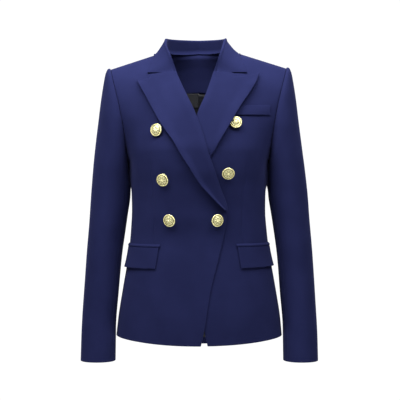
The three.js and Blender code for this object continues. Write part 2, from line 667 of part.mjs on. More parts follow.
// Collar profile at one place: stand, fold and leaf, as outer points
function collarProfile(side, along) {
  const sign = side === "right" ? -1 : 1;
  const seam = neckSeam(side, along);
  const front = smoothStep(NECK_POINT_ALONG, 1, along);
  const inward = new THREE.Vector3(-seam.point.x, -seam.point.y * (along < NECK_POINT_ALONG ? 1 : 0), 0);
  if (along > NECK_POINT_ALONG) inward.set(-sign, 0, 0);
  inward.normalize();
  const fade = 1 - smoothStep(0.86, 1, along);
  const foot = seam.point.clone().addScaledVector(inward, SEAM_GAP);
  foot.z += SEAM_GAP * 3;
  const lean = side === "right" ? collar.leanRight(along) : collar.leanLeft(along);
  const roll = foot.clone().addScaledVector(inward, lean);
  roll.z = Math.max(collar.rollZ(along), foot.z + 0.5);
  roll.y -= COLLAR_FORWARD * Math.sin(Math.PI * front);
  const edge = collarEdge(side, along);
  const outward = edge.clone().sub(roll).setZ(0).normalize();
  const radius = COLLAR_FOLD_RADIUS;
  const bulge = lerp(COLLAR_LEAF_BULGE.back, COLLAR_LEAF_BULGE.front, smoothStep(0.3, NECK_POINT_ALONG, along));
  const top = radius * fade;
  const points = [];
  for (let k = 0; k < CELLS.collarStand; k++) points.push(foot.clone().lerp(roll, k / CELLS.collarStand));
  for (let k = 0; k <= CELLS.collarFold; k++) {
    const turn = Math.PI * (1 - k / CELLS.collarFold);
    const point = roll.clone().addScaledVector(outward, radius + radius * Math.cos(turn));
    point.z += top * Math.sin(turn);
    points.push(point);
  }
  const start = points[points.length - 1];
  for (let k = 1; k <= CELLS.collarLeaf; k++) {
    const share = k / CELLS.collarLeaf;
    const point = start.clone().lerp(edge, share);
    point.z += bulge * Math.sin(Math.PI * share) * fade;
    points.push(seated(point, COLLAR_CLOTH + 0.8));
  }
  return points;
}

function collarWall() {
  const n = 2 * (COLLAR_CELLS.back + COLLAR_CELLS.front);
  const profiles = Array.from({ length: n + 1 }, (_, i) => {
    const along = Math.abs((2 * i) / n - 1);
    return collarProfile(i < n / 2 ? "right" : "left", along);
  });
  return profiles.map((profile, i) =>
    profile.map((point, k) => {
      const before = profiles[Math.max(0, i - 1)][k];
      const after = profiles[Math.min(n, i + 1)][k];
      const inner = profile[Math.max(0, k - 1)];
      const outer = profile[Math.min(profile.length - 1, k + 1)];
      const normal = after.clone().sub(before).cross(outer.clone().sub(inner)).normalize();
      return { point, normal: normal.negate() };
    }),
  );
}

// A strip lying on a front, between two turns, from its top height downwards
function pocketStrip(side, cells, topZ, height, outerDrop, innerX, slant, offsetAt) {
  const outerTheta = side === "right" ? Math.PI - FLAP.outerTheta : FLAP.outerTheta;
  const sign = side === "right" ? -1 : 1;
  return grid(cells, (across, down) => {
    const z = topZ - (height + outerDrop * across) * down;
    const level = (z - HEM_Z) / (UNDERARM_Z - HEM_Z);
    const innerTheta = thetaAt(sign * (innerX + slant * down), level, false);
    const theta = lerp(innerTheta, outerTheta, across);
    const point = formPoint(theta, level, false);
    const offset = offsetOf[side](point.x, point.z) + offsetAt(across, down);
    return offsetCell({ point, normal: formNormal(theta, level, false) }, offset);
  });
}

function flapWall(side) {
  const { topZ, depth, outerDrop } = FLAP_PLACE[side];
  const offsetAt = (across, down) => 0.7 + FLAP_CLOTH + (FLAP.lift + FLAP.cornerLift * across) * down * down;
  return pocketStrip(side, CELLS.flap, topZ - SEAM_GAP, depth, outerDrop, FLAP.innerX, FLAP.innerSlant, offsetAt);
}

function jetWall(side) {
  const cells = [CELLS.flap[0], 1];
  const topZ = FLAP_PLACE[side].topZ + JET_HEIGHT;
  return pocketStrip(side, cells, topZ, JET_HEIGHT, 0, FLAP.innerX - 2, 0, () => 0.9 + JET_CLOTH);
}

function chestWeltWall() {
  return grid(CELLS.welt, (across, down) => {
    const x = lerp(CHEST_WELT.innerX, CHEST_WELT.outerX, across);
    const z = CHEST_WELT.topZ - CHEST_WELT.slant * (1 - across) - CHEST_WELT.height * down;
    return offsetCell(formAt(x, z, false), 0.8 + WELT_CLOTH);
  });
}

// Height of a button's cap above the foot of its shank, with a raised rosette on the dome
function buttonCap(radius, turn) {
  const inside = BUTTON.radius - BUTTON.rimWidth;
  const base = BUTTON.shankHeight + 1.3;
  if (radius > inside - 0.01) return base + 0.9;
  const dome = 2.2 * (1 - (radius / inside) ** 2);
  const petal = BUTTON.petalRise * Math.cos((BUTTON.petals * turn) / 2) ** 2 * smoothStep(0.5, 3, radius);
  return base + 0.1 + dome + petal * (1 - smoothStep(6.5, 8.5, radius));
}

// A metal shank button as one closed turned form
function buttonGeometry() {
  const inside = BUTTON.radius - BUTTON.rimWidth;
  const rings = [
    { radius: BUTTON.shankRadius, height: () => 0 },
    { radius: BUTTON.shankRadius, height: () => BUTTON.shankHeight },
    { radius: BUTTON.radius - 0.5, height: () => BUTTON.shankHeight },
    { radius: BUTTON.radius, height: () => BUTTON.shankHeight + 0.8 },
    { radius: BUTTON.radius - 0.4, height: () => BUTTON.shankHeight + 2.2 },
    { radius: inside + 0.3, height: () => BUTTON.shankHeight + 2.2 },
    { radius: inside - 0.4, height: (turn) => buttonCap(inside - 0.4, turn) },
    { radius: 8, height: (turn) => buttonCap(8, turn) },
    { radius: 5, height: (turn) => buttonCap(5, turn) },
    { radius: 2.2, height: (turn) => buttonCap(2.2, turn) },
  ];
  const points = [new THREE.Vector3(0, 0, 0)];
  for (const ring of rings)
    for (let k = 0; k < BUTTON_SEGMENTS; k++) {
      const turn = (2 * Math.PI * k) / BUTTON_SEGMENTS;
      points.push(new THREE.Vector3(ring.radius * Math.cos(turn), ring.radius * Math.sin(turn), ring.height(turn)));
    }
  points.push(new THREE.Vector3(0, 0, buttonCap(0, 0)));
  const last = points.length - 1;
  const faces = [];
  const index = (ring, k) => 1 + ring * BUTTON_SEGMENTS + (k % BUTTON_SEGMENTS);
  for (let k = 0; k < BUTTON_SEGMENTS; k++) {
    faces.push(0, index(0, k + 1), index(0, k));
    faces.push(last, index(rings.length - 1, k), index(rings.length - 1, k + 1));
    for (let r = 0; r < rings.length - 1; r++) {
      faces.push(index(r, k), index(r, k + 1), index(r + 1, k + 1));
      faces.push(index(r, k), index(r + 1, k + 1), index(r + 1, k));
    }
  }
  return closedGeometry(points, faces);
}

function addButton({ name, x, z, faceX, faceZ }) {
  const side = name.endsWith("bottom_left") || name.endsWith("right") ? "right" : "left";
  const { point, normal } = formAt(x, z, false);
  const axis = new THREE.Vector3(faceX, -Math.sqrt(1 - faceX ** 2 - faceZ ** 2), faceZ);
  const tilt = Math.sqrt(Math.max(0, 1 - axis.dot(normal) ** 2));
  const standOff = offsetOf[side](x, z) + SEAM_GAP / 2 + BUTTON.shankRadius * tilt;
  const mesh = add(name, buttonGeometry(), goldMaterial);
  mesh.position.copy(point).addScaledVector(normal, standOff);
  mesh.quaternion.setFromUnitVectors(new THREE.Vector3(0, 0, 1), axis);
}

// Level of a row of the back, counted in cells from the hem. The rows are closer together near the neck.
function backRowLevel(row) {
  if (row <= BACK_ROWS.belowNeck) {
    const below = 1 - row / BACK_ROWS.belowNeck;
    return BACK_NECK_LEVEL * (1 - below * (0.6 + 0.4 * below));
  }
  const turn = ((row - BACK_ROWS.belowNeck) / BACK_ROWS.neck) * (Math.PI / 2);
  return 2 - (2 - BACK_NECK_LEVEL) * Math.cos(turn);
}

// An inner piece lies on the inside of both back halves and follows their rows.
function innerBack(levels, leftOut, depth) {
  const nAcross = 2 * (CELLS.back - leftOut);
  return levels.map((level) =>
    Array.from({ length: nAcross + 1 }, (_, c) => {
      const theta = (Math.PI * (c + leftOut)) / (2 * CELLS.back);
      const point = formPoint(theta, level, true);
      point.y += SEAM_GAP / 2;
      return offsetCell({ point, normal: formNormal(theta, level, true) }, -depth);
    }),
  );
}

// The facing inside the back neck reaches up to the neckline.
function neckFacing() {
  const foot = backRowLevel(FACING_FOOT_ROW);
  return grid(CELLS.facing, (across, up) => {
    const sine = Math.sin((across - 0.5) * Math.PI * FACING_REACH);
    const neckShare = Math.abs(sine) ** 1.4;
    const x = (Math.sign(sine) * NECK_HALF_WIDTH + NECK_SHIFT) * neckShare;
    const below = Math.sqrt(1 - neckShare ** (1 / 0.7));
    const level = lerp(foot, 2 - (2 - BACK_NECK_LEVEL) * below - FACING_BELOW_SEAM, up);
    const theta = thetaAt(x, level, true);
    const point = formPoint(theta, level, true);
    point.y += SEAM_GAP / 2;
    return offsetCell({ point, normal: formNormal(theta, level, true) }, -innerDepth);
  });
}

for (const side of ["right", "left"]) {
  add(`front_${side}`, wall(frontPanel(side), PANEL_CLOTH));
  add(`back_${side}`, wall(backPanel(side), PANEL_CLOTH));
  add(`sleeve_top_${side}`, wall(sleeveWall(side, "top"), PANEL_CLOTH));
  add(`sleeve_under_${side}`, wall(sleeveWall(side, "under"), PANEL_CLOTH));
  add(`lapel_${side}`, wall(lapelWall(side), LAPEL_CLOTH - 0.2));
  add(`flap_${side}`, wall(flapWall(side), FLAP_CLOTH));
  add(`jet_${side}`, wall(jetWall(side), JET_CLOTH));
}
add("collar", wall(collarWall(), COLLAR_CLOTH));
add("chest_welt", wall(chestWeltWall(), WELT_CLOTH));
BUTTONS.forEach(addButton);

const innerDepth = PANEL_CLOTH + INNER_GAP;
const liningLevels = Array.from({ length: FACING_FOOT_ROW + 1 }, (_, row) => backRowLevel(row));
liningLevels[0] = LINING_FOOT_LEVEL;
liningLevels[FACING_FOOT_ROW] -= 0.004;
add("neck_facing", wall(neckFacing(), FACING_CLOTH));
add("lining", wall(innerBack(liningLevels, LINING_LEFT_OUT, innerDepth), LINING_CLOTH), liningMaterial);
add(
  "label",
  wall(
    grid(CELLS.label, (across, down) => {
      const cell = formAt(lerp(LABEL.fromX, LABEL.toX, across), lerp(LABEL.topZ, LABEL.footZ, down), true);
      cell.point.y += SEAM_GAP / 2;
      return offsetCell(cell, -(innerDepth + LINING_CLOTH + SEAM_GAP * 3));
    }),
    LABEL_CLOTH,
  ),
  liningMaterial,
);

export default group;
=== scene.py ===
"""A navy double breasted blazer, filled out as on a wearer, on a pale studio stage."""
import math

import bpy
import numpy as np
from bpy.props import FloatProperty, FloatVectorProperty, IntProperty, PointerProperty
from bpy.types import Operator, Panel, PropertyGroup
from mathutils import Matrix, Vector


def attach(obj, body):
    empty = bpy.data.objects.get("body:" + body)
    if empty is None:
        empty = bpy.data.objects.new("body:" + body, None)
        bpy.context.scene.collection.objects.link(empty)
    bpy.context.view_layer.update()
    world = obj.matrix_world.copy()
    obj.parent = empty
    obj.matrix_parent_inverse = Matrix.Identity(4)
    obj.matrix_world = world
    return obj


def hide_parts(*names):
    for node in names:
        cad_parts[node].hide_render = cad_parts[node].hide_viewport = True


bl_info = {
    "name": "Double breasted blazer",
    "version": (1, 0, 0),
    "blender": (4, 5, 0),
    "location": "3D View > Sidebar > Blazer",
    "description": "Builds the cloth, the buttons and the studio of a double breasted blazer",
    "category": "Add Mesh",
}

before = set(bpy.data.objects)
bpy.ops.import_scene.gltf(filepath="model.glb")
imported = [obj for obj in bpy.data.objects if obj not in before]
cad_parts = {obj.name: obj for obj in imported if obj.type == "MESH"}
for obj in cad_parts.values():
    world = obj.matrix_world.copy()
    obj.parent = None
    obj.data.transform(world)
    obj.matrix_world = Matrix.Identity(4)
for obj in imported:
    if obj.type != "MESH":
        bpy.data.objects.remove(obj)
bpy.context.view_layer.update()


# The pattern of the blazer, in millimetres: +Z up, the wearer faces -Y, the wearer's left is +X

HEM_Z = -600.0
UNDERARM_Z = -230.0
UNDERARM_X = 148.5
FRONT_HEM_DROP = 12.0
BACK_HEM_DROP = 33.0
SHOULDER_X = 186.0
SHOULDER_Z = -37.0
SHOULDER_LIFT = {"right": -0.4, "left": 2.2}
SHOULDER_RISE = 62.3
SHOULDER_SEAM_Y = 8.0
ARMHOLE_FRONT = 54.0
ARMHOLE_BACK = 56.0
ARMHOLE_ROUNDNESS = 2.1
ARMHOLE_SCOOP = 5.0
NECK_HALF_WIDTH = 62.0
NECK_SHIFT = -5.5
BACK_NECK_LEVEL = 1.87
BUST_ALONG = 0.46
SEAM_GAP = 0.3
FOLD_GAP = 0.8
SIDES = ("right", "left")
SIGN = {"right": -1.0, "left": 1.0}


class Table:
    """A short table of named columns, each read as a smooth curve with no overshoot."""

    def __init__(self, names, *rows):
        values = np.array(rows, dtype=float).T
        self.key = values[0]
        self.columns = dict(zip(names.split()[1:], values[1:]))
        self.slopes = {name: self.tangents(column) for name, column in self.columns.items()}

    def tangents(self, column):
        slope = np.diff(column) / np.diff(self.key)
        before, after = slope[:-1], slope[1:]
        total = np.where(before + after == 0, 1.0, before + after)
        inner = np.where(before * after <= 0, 0.0, 2 * before * after / total)
        return np.concatenate([slope[:1], inner, slope[-1:]])

    def read(self, name, asked):
        asked = np.clip(np.asarray(asked, dtype=float), self.key[0], self.key[-1])
        i = np.clip(np.searchsorted(self.key, asked) - 1, 0, len(self.key) - 2)
        value, slope = self.columns[name], self.slopes[name]
        h = self.key[i + 1] - self.key[i]
        s = (asked - self.key[i]) / h
        start = value[i] * (1 + 2 * s) * (1 - s) ** 2 + h * slope[i] * s * (1 - s) ** 2
        return start + value[i + 1] * s * s * (3 - 2 * s) + h * slope[i + 1] * s * s * (s - 1)


HALF_WIDTH = Table(
    "z right left",
    (-602, 174.5, 177.0), (-560, 169.8, 173.0), (-500, 160.3, 163.5), (-440, 150.3, 153.0),
    (-385, 144.0, 145.5), (-335, 141.5, 141.8), (-290, 142.7, 142.7), (-260, 145.0, 145.0),
    (-230, 148.5, 148.5),
)
CENTRE = Table(
    "z front back",
    (-602, 128, 122), (-560, 126, 119), (-500, 121, 110), (-440, 114, 96), (-385, 108, 84),
    (-335, 107, 79), (-290, 111, 82), (-250, 117, 88), (-215, 117.5, 94), (-180, 110, 98.5),
    (-140, 96, 101), (-100, 79.5, 101.5), (-60, 61.5, 99), (-30, 45.5, 93), (-10, 31, 84),
    (8, 14, 66), (19, 1, 42), (25.3, -8, 8),
)
ROUNDNESS = Table(
    "rise front back",
    (0, 2.35, 2.2), (0.15, 2.2, 2.12), (0.5, 1.8, 1.9), (0.85, 1.5, 1.6), (0.97, 1.26, 1.32), (1, 1, 1),
)
EDGE = {
    "right": Table(
        "z x",
        (-615, 3.5), (-570, 13.4), (-529, 19.5), (-490, 26.5), (-462, 33.4), (-428, 42.1), (-385, 51.4),
        (-352, 55.2), (-338, 55.4), (-319, 52.6), (-286, 43.6), (-256, 34.1), (-223, 22.4), (-173, 7.2),
        (-135, -7.0), (-96, -24.9), (-50, -45.2), (-18, -58.5), (4.5, -67.5),
    ),
    "left": Table(
        "z x",
        (-615, 20.0), (-578, 12.6), (-529, 4.0), (-490, -6.0), (-462, -14.0), (-428, -26.0), (-385, -41.0),
        (-352, -52.0), (-338, -54.5), (-319, -52.6), (-286, -45.0), (-256, -35.0), (-223, -23.5),
        (-173, -11.5), (-133, -1.0), (-96, 14.7), (-50, 31.0), (-18, 45.5), (4.5, 56.5),
    ),
}
LAPEL = {
    "right": Table(
        "along rollZ edgeX edgeZ",
        (0, -50.4, -127.5, -64.8), (0.08, -66, -124, -72.5), (0.2, -96, -110, -97),
        (0.33, -135, -92, -128.5), (0.46, -173, -73.5, -161), (0.6, -221, -48, -198.5),
        (0.73, -256, -22, -241), (0.84, -286, 5, -282), (0.94, -317, 37, -319.5), (1, -337, 50.5, -334.5),
    ),
    "left": Table(
        "along rollZ edgeX edgeZ",
        (0, -50.4, 126, -51.8), (0.08, -66, 118.5, -70.5), (0.2, -96, 104, -94.5),
        (0.33, -133, 84, -123.5), (0.46, -173, 61.5, -162), (0.6, -221, 36, -206),
        (0.73, -256, 10, -248), (0.84, -286, -14, -284), (0.94, -317, -39, -318.5), (1, -337, -50, -334.5),
    ),
}
ROLL_SETBACK = 3.6
GORGE_BOW = {"right": 3.5, "left": -2.0}
NOTCH_FROM = {"right": (0.62, 0.7), "left": (0.38, 0.46)}
COLLAR_TIP = {"right": (-106.0, -49.5), "left": (101.0, -48.8)}
NECK_POINT_ALONG = 8 / 13
COLLAR = Table(
    "along rollZ leanRight leanLeft edgeX edgeZ",
    (0, 29.4, 6, 6, 0, -12), (0.2, 29.2, 6, 6, 36, -13), (0.4, 28.4, 4, 4, 68, -13.5),
    (NECK_POINT_ALONG, 26.6, 0.5, 1, 88.5, -6.5), (0.7, 12.5, -4.5, 0, 90, -11),
    (0.77, -1.5, -2.3, 0.2, 91.5, -17), (0.85, -17, 0.3, 1.1, 93.5, -27),
    (0.93, -33, 2.4, 2.1, 98, -39), (1, -48, 3.2, 3.2, 104, -49),
)
COLLAR_FORWARD = 10.0
SLEEVE = Table(
    "along outerX outerZ innerX innerZ front back y scoop",
    (0, 186.7, -36.9, 149.2, -230.2, 54, 56, 0, 5),
    (0.04, 191.5, -35.3, 149.4, -232.5, 57, 58.5, 0, 4),
    (0.08, 197, -44, 149, -236, 59.5, 61, 0, 3),
    (0.13, 202.3, -70, 148.5, -241, 61, 62, 0, 1.5),
    (0.19, 207.6, -105, 147.9, -247, 61.5, 62.5, 0, 0.5),
    (0.26, 213.2, -150, 147.4, -254, 61, 62, 1, 0),
    (0.33, 219.4, -200, 146.9, -262, 60, 61, 2, 0),
    (0.4, 225.3, -250, 146.4, -276, 58.5, 59, 3, 0),
    (0.48, 230.6, -305, 147.6, -305, 57, 57, 4, 0),
    (0.56, 234.3, -355, 153, -350, 55.5, 55.5, 3, 0),
    (0.67, 240.4, -430, 164, -425, 53, 53, -2, 0),
    (0.79, 245.3, -515, 171.3, -511, 50, 50, -9, 0),
    (0.9, 249.1, -590, 176.7, -588, 47.5, 47, -17, 0),
    (1, 250.6, -652, 176.8, -652, 45.5, 44.5, -25, 0),
)
SLEEVE_SWING = 2.0
SLEEVE_FRONT_SEAM = 0.8 * math.pi
SLEEVE_BACK_SEAM = -0.62 * math.pi
FLAP = {
    "right": {"topZ": -411.0, "depth": 43.5, "outerDrop": 1.5},
    "left": {"topZ": -409.5, "depth": 43.5, "outerDrop": 0.0},
}
FLAP_INNER_X = 80.0
FLAP_SLANT = 7.5
FLAP_OUTER_TURN = 0.1
JET_HEIGHT = 5.5
WELT = {"innerX": 66.0, "outerX": 148.4, "topZ": -119.2, "height": 18.3, "slant": 1.8}
BUTTONS = {
    "button_top_right": (-82.6, -173.1, -0.46, 0.06),
    "button_middle_right": (-69.4, -271.9, -0.4, -0.26),
    "button_bottom_right": (-56.3, -356.3, -0.38, -0.22),
    "button_top_left": (76.0, -156.2, 0.14, 0.34),
    "button_middle_left": (60.4, -258.9, 0.1, -0.43),
    "button_bottom_left": (36.1, -356.4, 0.4, -0.12),
}
FACING_FOOT_LEVEL = BACK_NECK_LEVEL * (1 - 5 / 22 * (0.6 + 0.4 * 5 / 22))
LABEL = {"fromX": -56.0, "toX": 0.0, "topZ": -82.0, "footZ": -114.0}
# Darts: their line on each front, from the pocket up to the bust
DART = {
    "right": Table("z x", (-405, -93.0), (-360, -91.5), (-323, -91.7), (-285, -95.0), (-226, -99.0)),
    "left": Table("z x", (-405, 93.5), (-360, 90.5), (-305, 91.0), (-270, 97.0), (-222, 100.5)),
}


def smooth_step(start, end, value):
    t = np.clip((value - start) / (end - start), 0.0, 1.0)
    return t * t * (3 - 2 * t)


def lerp(a, b, share):
    return a + (b - a) * share


def unit(vectors):
    return vectors / np.maximum(np.linalg.norm(vectors, axis=-1, keepdims=True), 1e-12)


def signed_power(value, power):
    return np.sign(value) * np.abs(value) ** power


def points(x, y, z):
    return np.stack(np.broadcast_arrays(x, y, z), axis=-1).astype(float)


# The torso form

def armhole_rise(level):
    turn = np.cos(math.pi * (2 - level))
    return np.where(level <= 1, 0.0, (1 + signed_power(turn, 2 / ARMHOLE_ROUNDNESS)) / 2)


def row_ends(level, is_back, is_left):
    """Side point, centre depth and centre height of rows of the torso."""
    share = np.maximum(0.0, level - 1)
    rise = armhole_rise(level)
    depth = np.abs(np.sin(math.pi * (2 - level))) ** (2 / ARMHOLE_ROUNDNESS)
    low = lerp(HEM_Z, UNDERARM_Z, np.minimum(level, 1.0))
    width = np.where(is_left, HALF_WIDTH.read("left", low), HALF_WIDTH.read("right", low))
    hole_x = lerp(UNDERARM_X, SHOULDER_X, rise) - ARMHOLE_SCOOP * np.sin(math.pi * rise)
    side_x = np.where(level <= 1, width, hole_x)
    side_y = np.where(level <= 1, 0.0, (ARMHOLE_BACK if is_back else -ARMHOLE_FRONT) * depth)
    side_z = np.where(level <= 1, low, lerp(UNDERARM_Z, SHOULDER_Z, rise))
    z = side_z + SHOULDER_RISE * share**1.5
    drop = (BACK_HEM_DROP if is_back else FRONT_HEM_DROP) * np.maximum(0.0, 1 - level) ** 3
    centre_y = CENTRE.read("back", z) if is_back else -CENTRE.read("front", z)
    return side_x, side_y, side_z, centre_y, z - drop, 2 - share


def exponent_at(level, is_back):
    return ROUNDNESS.read("back" if is_back else "front", armhole_rise(level))


def form_point(turn, level, is_back):
    cos = np.cos(turn)
    side_x, side_y, side_z, centre_y, centre_z, bow = row_ends(level, is_back, cos > 0)
    exponent = exponent_at(level, is_back)
    rise = armhole_rise(level)
    x = signed_power(cos, 2 / exponent)
    cut = np.clip(side_y / centre_y, 0, 0.9) ** exponent
    from_edge = lerp(side_y, centre_y, np.abs(np.sin(turn)) ** (2 / exponent))
    carried = centre_y * np.maximum(0.0, 1 - (1 - cut) * np.abs(x) ** exponent) ** (1 / exponent)
    lift = np.abs(x) * rise * np.where(cos > 0, SHOULDER_LIFT["left"], SHOULDER_LIFT["right"])
    y = lerp(carried, from_edge, smooth_step(0.25, 0.85, rise))
    return points(side_x * x, y, lerp(side_z, centre_z, 1 - np.abs(x) ** bow) + lift)


def turn_at(x, level, is_back):
    side_x = row_ends(level, is_back, x > 0)[0]
    share = np.clip(x / side_x, -1, 1)
    return np.arccos(np.clip(signed_power(share, exponent_at(level, is_back) / 2), -1, 1))


def form_normal(turn, level, is_back):
    step = 1e-3
    across = form_point(np.minimum(math.pi, turn + step), level, is_back)
    across = across - form_point(np.maximum(0, turn - step), level, is_back)
    up = form_point(turn, np.minimum(2, level + step), is_back)
    up = up - form_point(turn, np.maximum(0, level - step), is_back)
    normal = unit(np.cross(across, up)) * (1 if is_back else -1)
    normal[..., 1] *= 1 - smooth_step(1.9, 2, level)
    return unit(normal)


def level_at(x, z, is_back):
    x, z = np.broadcast_arrays(np.asarray(x, dtype=float), np.asarray(z, dtype=float))
    low, high = np.zeros(x.shape), np.full(x.shape, 2.0)
    for _ in range(30):
        middle = (low + high) / 2
        below = form_point(turn_at(x, middle, is_back), middle, is_back)[..., 2] < z
        low, high = np.where(below, middle, low), np.where(below, high, middle)
    return (low + high) / 2


def form_at(x, z, is_back):
    """Point and outward direction of the torso form at an x and a height."""
    level = level_at(x, z, is_back)
    turn = turn_at(np.asarray(x, dtype=float), level, is_back)
    return form_point(turn, level, is_back), form_normal(turn, level, is_back)


def edge_x(side, z):
    """Inner boundary of a front: its edge, then the roll line behind the fold, then the neckline."""
    setback = ROLL_SETBACK * smooth_step(-332, -290, z) * (1 - smooth_step(-44, 2, z))
    return EDGE[side].read("x", z) + SIGN[side] * setback


def overlap_offset(side, x, z):
    """How far the overlapping front stands off the form, to clear what it covers."""
    if side == "left":
        return np.zeros(np.broadcast(x, z).shape)
    over_front = smooth_step(-124, -66, x) * (1 - smooth_step(-125, -40, z))
    over_lapel = smooth_step(-118, -68, x) * smooth_step(-392, -345, z) * (1 - smooth_step(-125, -60, z))
    return 2.8 * over_front + 4.0 * over_lapel


# Meshes

def graded(length, count, start=(), end=()):
    """Distances from 0 to length, even in the middle and set close together at the ends asked for."""
    first = start[-1] if start else 0.0
    last = length - (end[-1] if end else 0.0)
    head = [0.0, *start[:-1]] if start else []
    tail = [length - distance for distance in reversed(end[:-1])] + [length] if end else []
    return np.concatenate([head, np.linspace(first, last, count + 1), tail])


def closed_mesh(name, vertices, faces, uv, material_of, materials):
    """A mesh object of one closed shell, in metres, with its faces outwards."""
    faces = np.asarray(faces)
    a, b, c, d = (vertices[faces[:, k]] for k in range(4))
    volume = np.einsum("ij,ij->i", a, np.cross(b, c) + np.cross(c, d)).sum()
    if volume < 0:
        faces = faces[:, ::-1]
    mesh = bpy.data.meshes.new(name)
    mesh.from_pydata((vertices * 0.001).tolist(), [], faces.tolist())
    layer = mesh.uv_layers.new(name="cloth")
    layer.data.foreach_set("uv", (uv[faces.ravel()] * 0.001).ravel())
    for material in materials:
        mesh.materials.append(material)
    mesh.polygons.foreach_set("material_index", np.asarray(material_of, dtype=np.int32))
    mesh.polygons.foreach_set("use_smooth", np.ones(len(faces), dtype=bool))
    mesh.validate()
    mesh.update()
    piece = bpy.data.objects.new(name, mesh)
    bpy.context.scene.collection.objects.link(piece)
    return piece


def edge_outward(line, normals, towards):
    """Direction out of the cloth, square to one of its edges."""
    along = unit(np.gradient(line, axis=0))
    out = unit(np.cross(along, normals))
    flip = np.sign(np.sum(out * (line - towards), axis=-1, keepdims=True))
    return out * np.where(flip == 0, 1, flip)


def cloth_wall(name, grid, normals, thickness, materials, rounded=(0, 0, 0, 0), lined=None):
    """A closed wall of cloth from a grid of outer points.

    rounded says how far the first row, last column, last row and first column are turned edges:
    1 for a pressed edge, 0 for a seam, or one number for each point.
    lined says which cells show lining on the inside.
    """
    rows, cols = grid.shape[:2]
    count = rows * cols
    index = np.arange(count).reshape(rows, cols)
    outer, inner = grid.reshape(-1, 3), (grid - normals * thickness).reshape(-1, 3)
    lines = [
        (index[0], index[1]), (index[:, -1], index[:, -2]),
        (index[-1, ::-1], index[-2, ::-1]), (index[::-1, 0], index[::-1, 1]),
    ]
    flat_normals = normals.reshape(-1, 3)
    out = np.zeros((count, 3))
    weight = np.zeros(count)
    for (line, within), share in zip(lines, rounded):
        share = np.broadcast_to(share, line.shape).astype(float)
        if line[0] > line[-1]:
            share = share[::-1]
        out[line] += edge_outward(outer[line], flat_normals[line], outer[within]) * (share[:, None] + 1e-6)
        weight[line] = np.maximum(weight[line], share)
    rim = np.concatenate([line[:-1] for line, _ in lines])
    turns = np.array([0.25, 0.5, 0.75]) * math.pi
    middle = outer[rim] - flat_normals[rim] * thickness / 2
    side = unit(out[rim]) * weight[rim][:, None]
    rings = [
        middle + (flat_normals[rim] * math.cos(turn) + side * math.sin(turn)) * thickness / 2 for turn in turns
    ]
    vertices = np.concatenate([outer, inner, *rings])

    def quads(table):
        return np.stack([table[:-1, :-1], table[:-1, 1:], table[1:, 1:], table[1:, :-1]], axis=-1).reshape(-1, 4)

    levels = [rim] + [2 * count + k * len(rim) + np.arange(len(rim)) for k in range(3)] + [rim + count]
    faces = [quads(index), quads(index + count)[:, ::-1]]
    for upper, lower in zip(levels[:-1], levels[1:]):
        faces.append(np.stack([np.roll(upper, -1), upper, lower, np.roll(lower, -1)], axis=-1))
    # Cloth coordinates in millimetres, from the middle of the piece
    across = np.linalg.norm(np.diff(grid, axis=1), axis=-1).cumsum(axis=1)
    across = np.pad(across, ((0, 0), (1, 0)))
    across = across - across[:, cols // 2][:, None]
    upward = np.pad(np.linalg.norm(np.diff(grid[:, cols // 2], axis=0), axis=-1).cumsum(), (1, 0))
    place = np.stack([across, np.broadcast_to(upward[:, None], across.shape)], axis=-1).reshape(-1, 2)
    uv = np.concatenate([place, place, place[rim], place[rim], place[rim]])
    cells = (rows - 1) * (cols - 1)
    inside = np.zeros(cells, dtype=int) if lined is None else np.asarray(lined, dtype=int).ravel()
    material_of = np.concatenate([np.zeros(cells, dtype=int), inside, np.zeros(4 * len(rim), dtype=int)])
    return closed_mesh(name, vertices, np.concatenate(faces), uv, material_of, materials)


def crease(distance, depth, width):
    return depth * np.exp(-((distance / width) ** 2))


def paced_turns(level, start_turn, end_turn, is_back, distances_of):
    """Turns of one row at which the wanted distances along the cloth are reached."""
    turns = np.linspace(start_turn, end_turn, 360)
    line = form_point(turns, np.full(turns.shape, level), is_back)
    length = np.pad(np.linalg.norm(np.diff(line, axis=0), axis=1).cumsum(), (1, 0))
    distances = distances_of(length, line)
    return np.interp(distances, length, turns), distances, length[-1]


def front_inner_turn(side, level):
    z = row_ends(level, False, True)[2]
    for _ in range(12):
        turn = turn_at(edge_x(side, z), level, False)
        z = form_point(turn, level, False)[..., 2]
    return turn


def turn_to_seam(normals, side, level, distance):
    """At the armhole a panel keeps to the seam, clear of the sleeve."""
    outwards = unit(np.array([SIGN[side] * (SHOULDER_Z - UNDERARM_Z), 0.0, UNDERARM_X - SHOULDER_X]))
    share = smooth_step(1.3, 1.6, level) * np.exp(-distance / 6)
    return unit(normals - outwards * (normals @ outwards * share)[..., None])


def gentle_noise(x, z, seed):
    """A few long, low waves, as smooth cloth has when it hangs."""
    rng = np.random.default_rng(seed)
    total = np.zeros(np.broadcast(x, z).shape)
    for size in (190.0, 130.0, 90.0, 60.0):
        heading, phase = rng.uniform(-0.5, 0.5), rng.uniform(0, 2 * math.pi)
        wave = np.sin(2 * math.pi * (x * math.cos(heading) + z * math.sin(heading) * 0.45) / size + phase)
        drift = np.sin(2 * math.pi * (z * 0.7 + x * 0.2) / (size * 1.9) + phase * 1.7)
        total += wave * drift * size / 190.0
    return total / 2


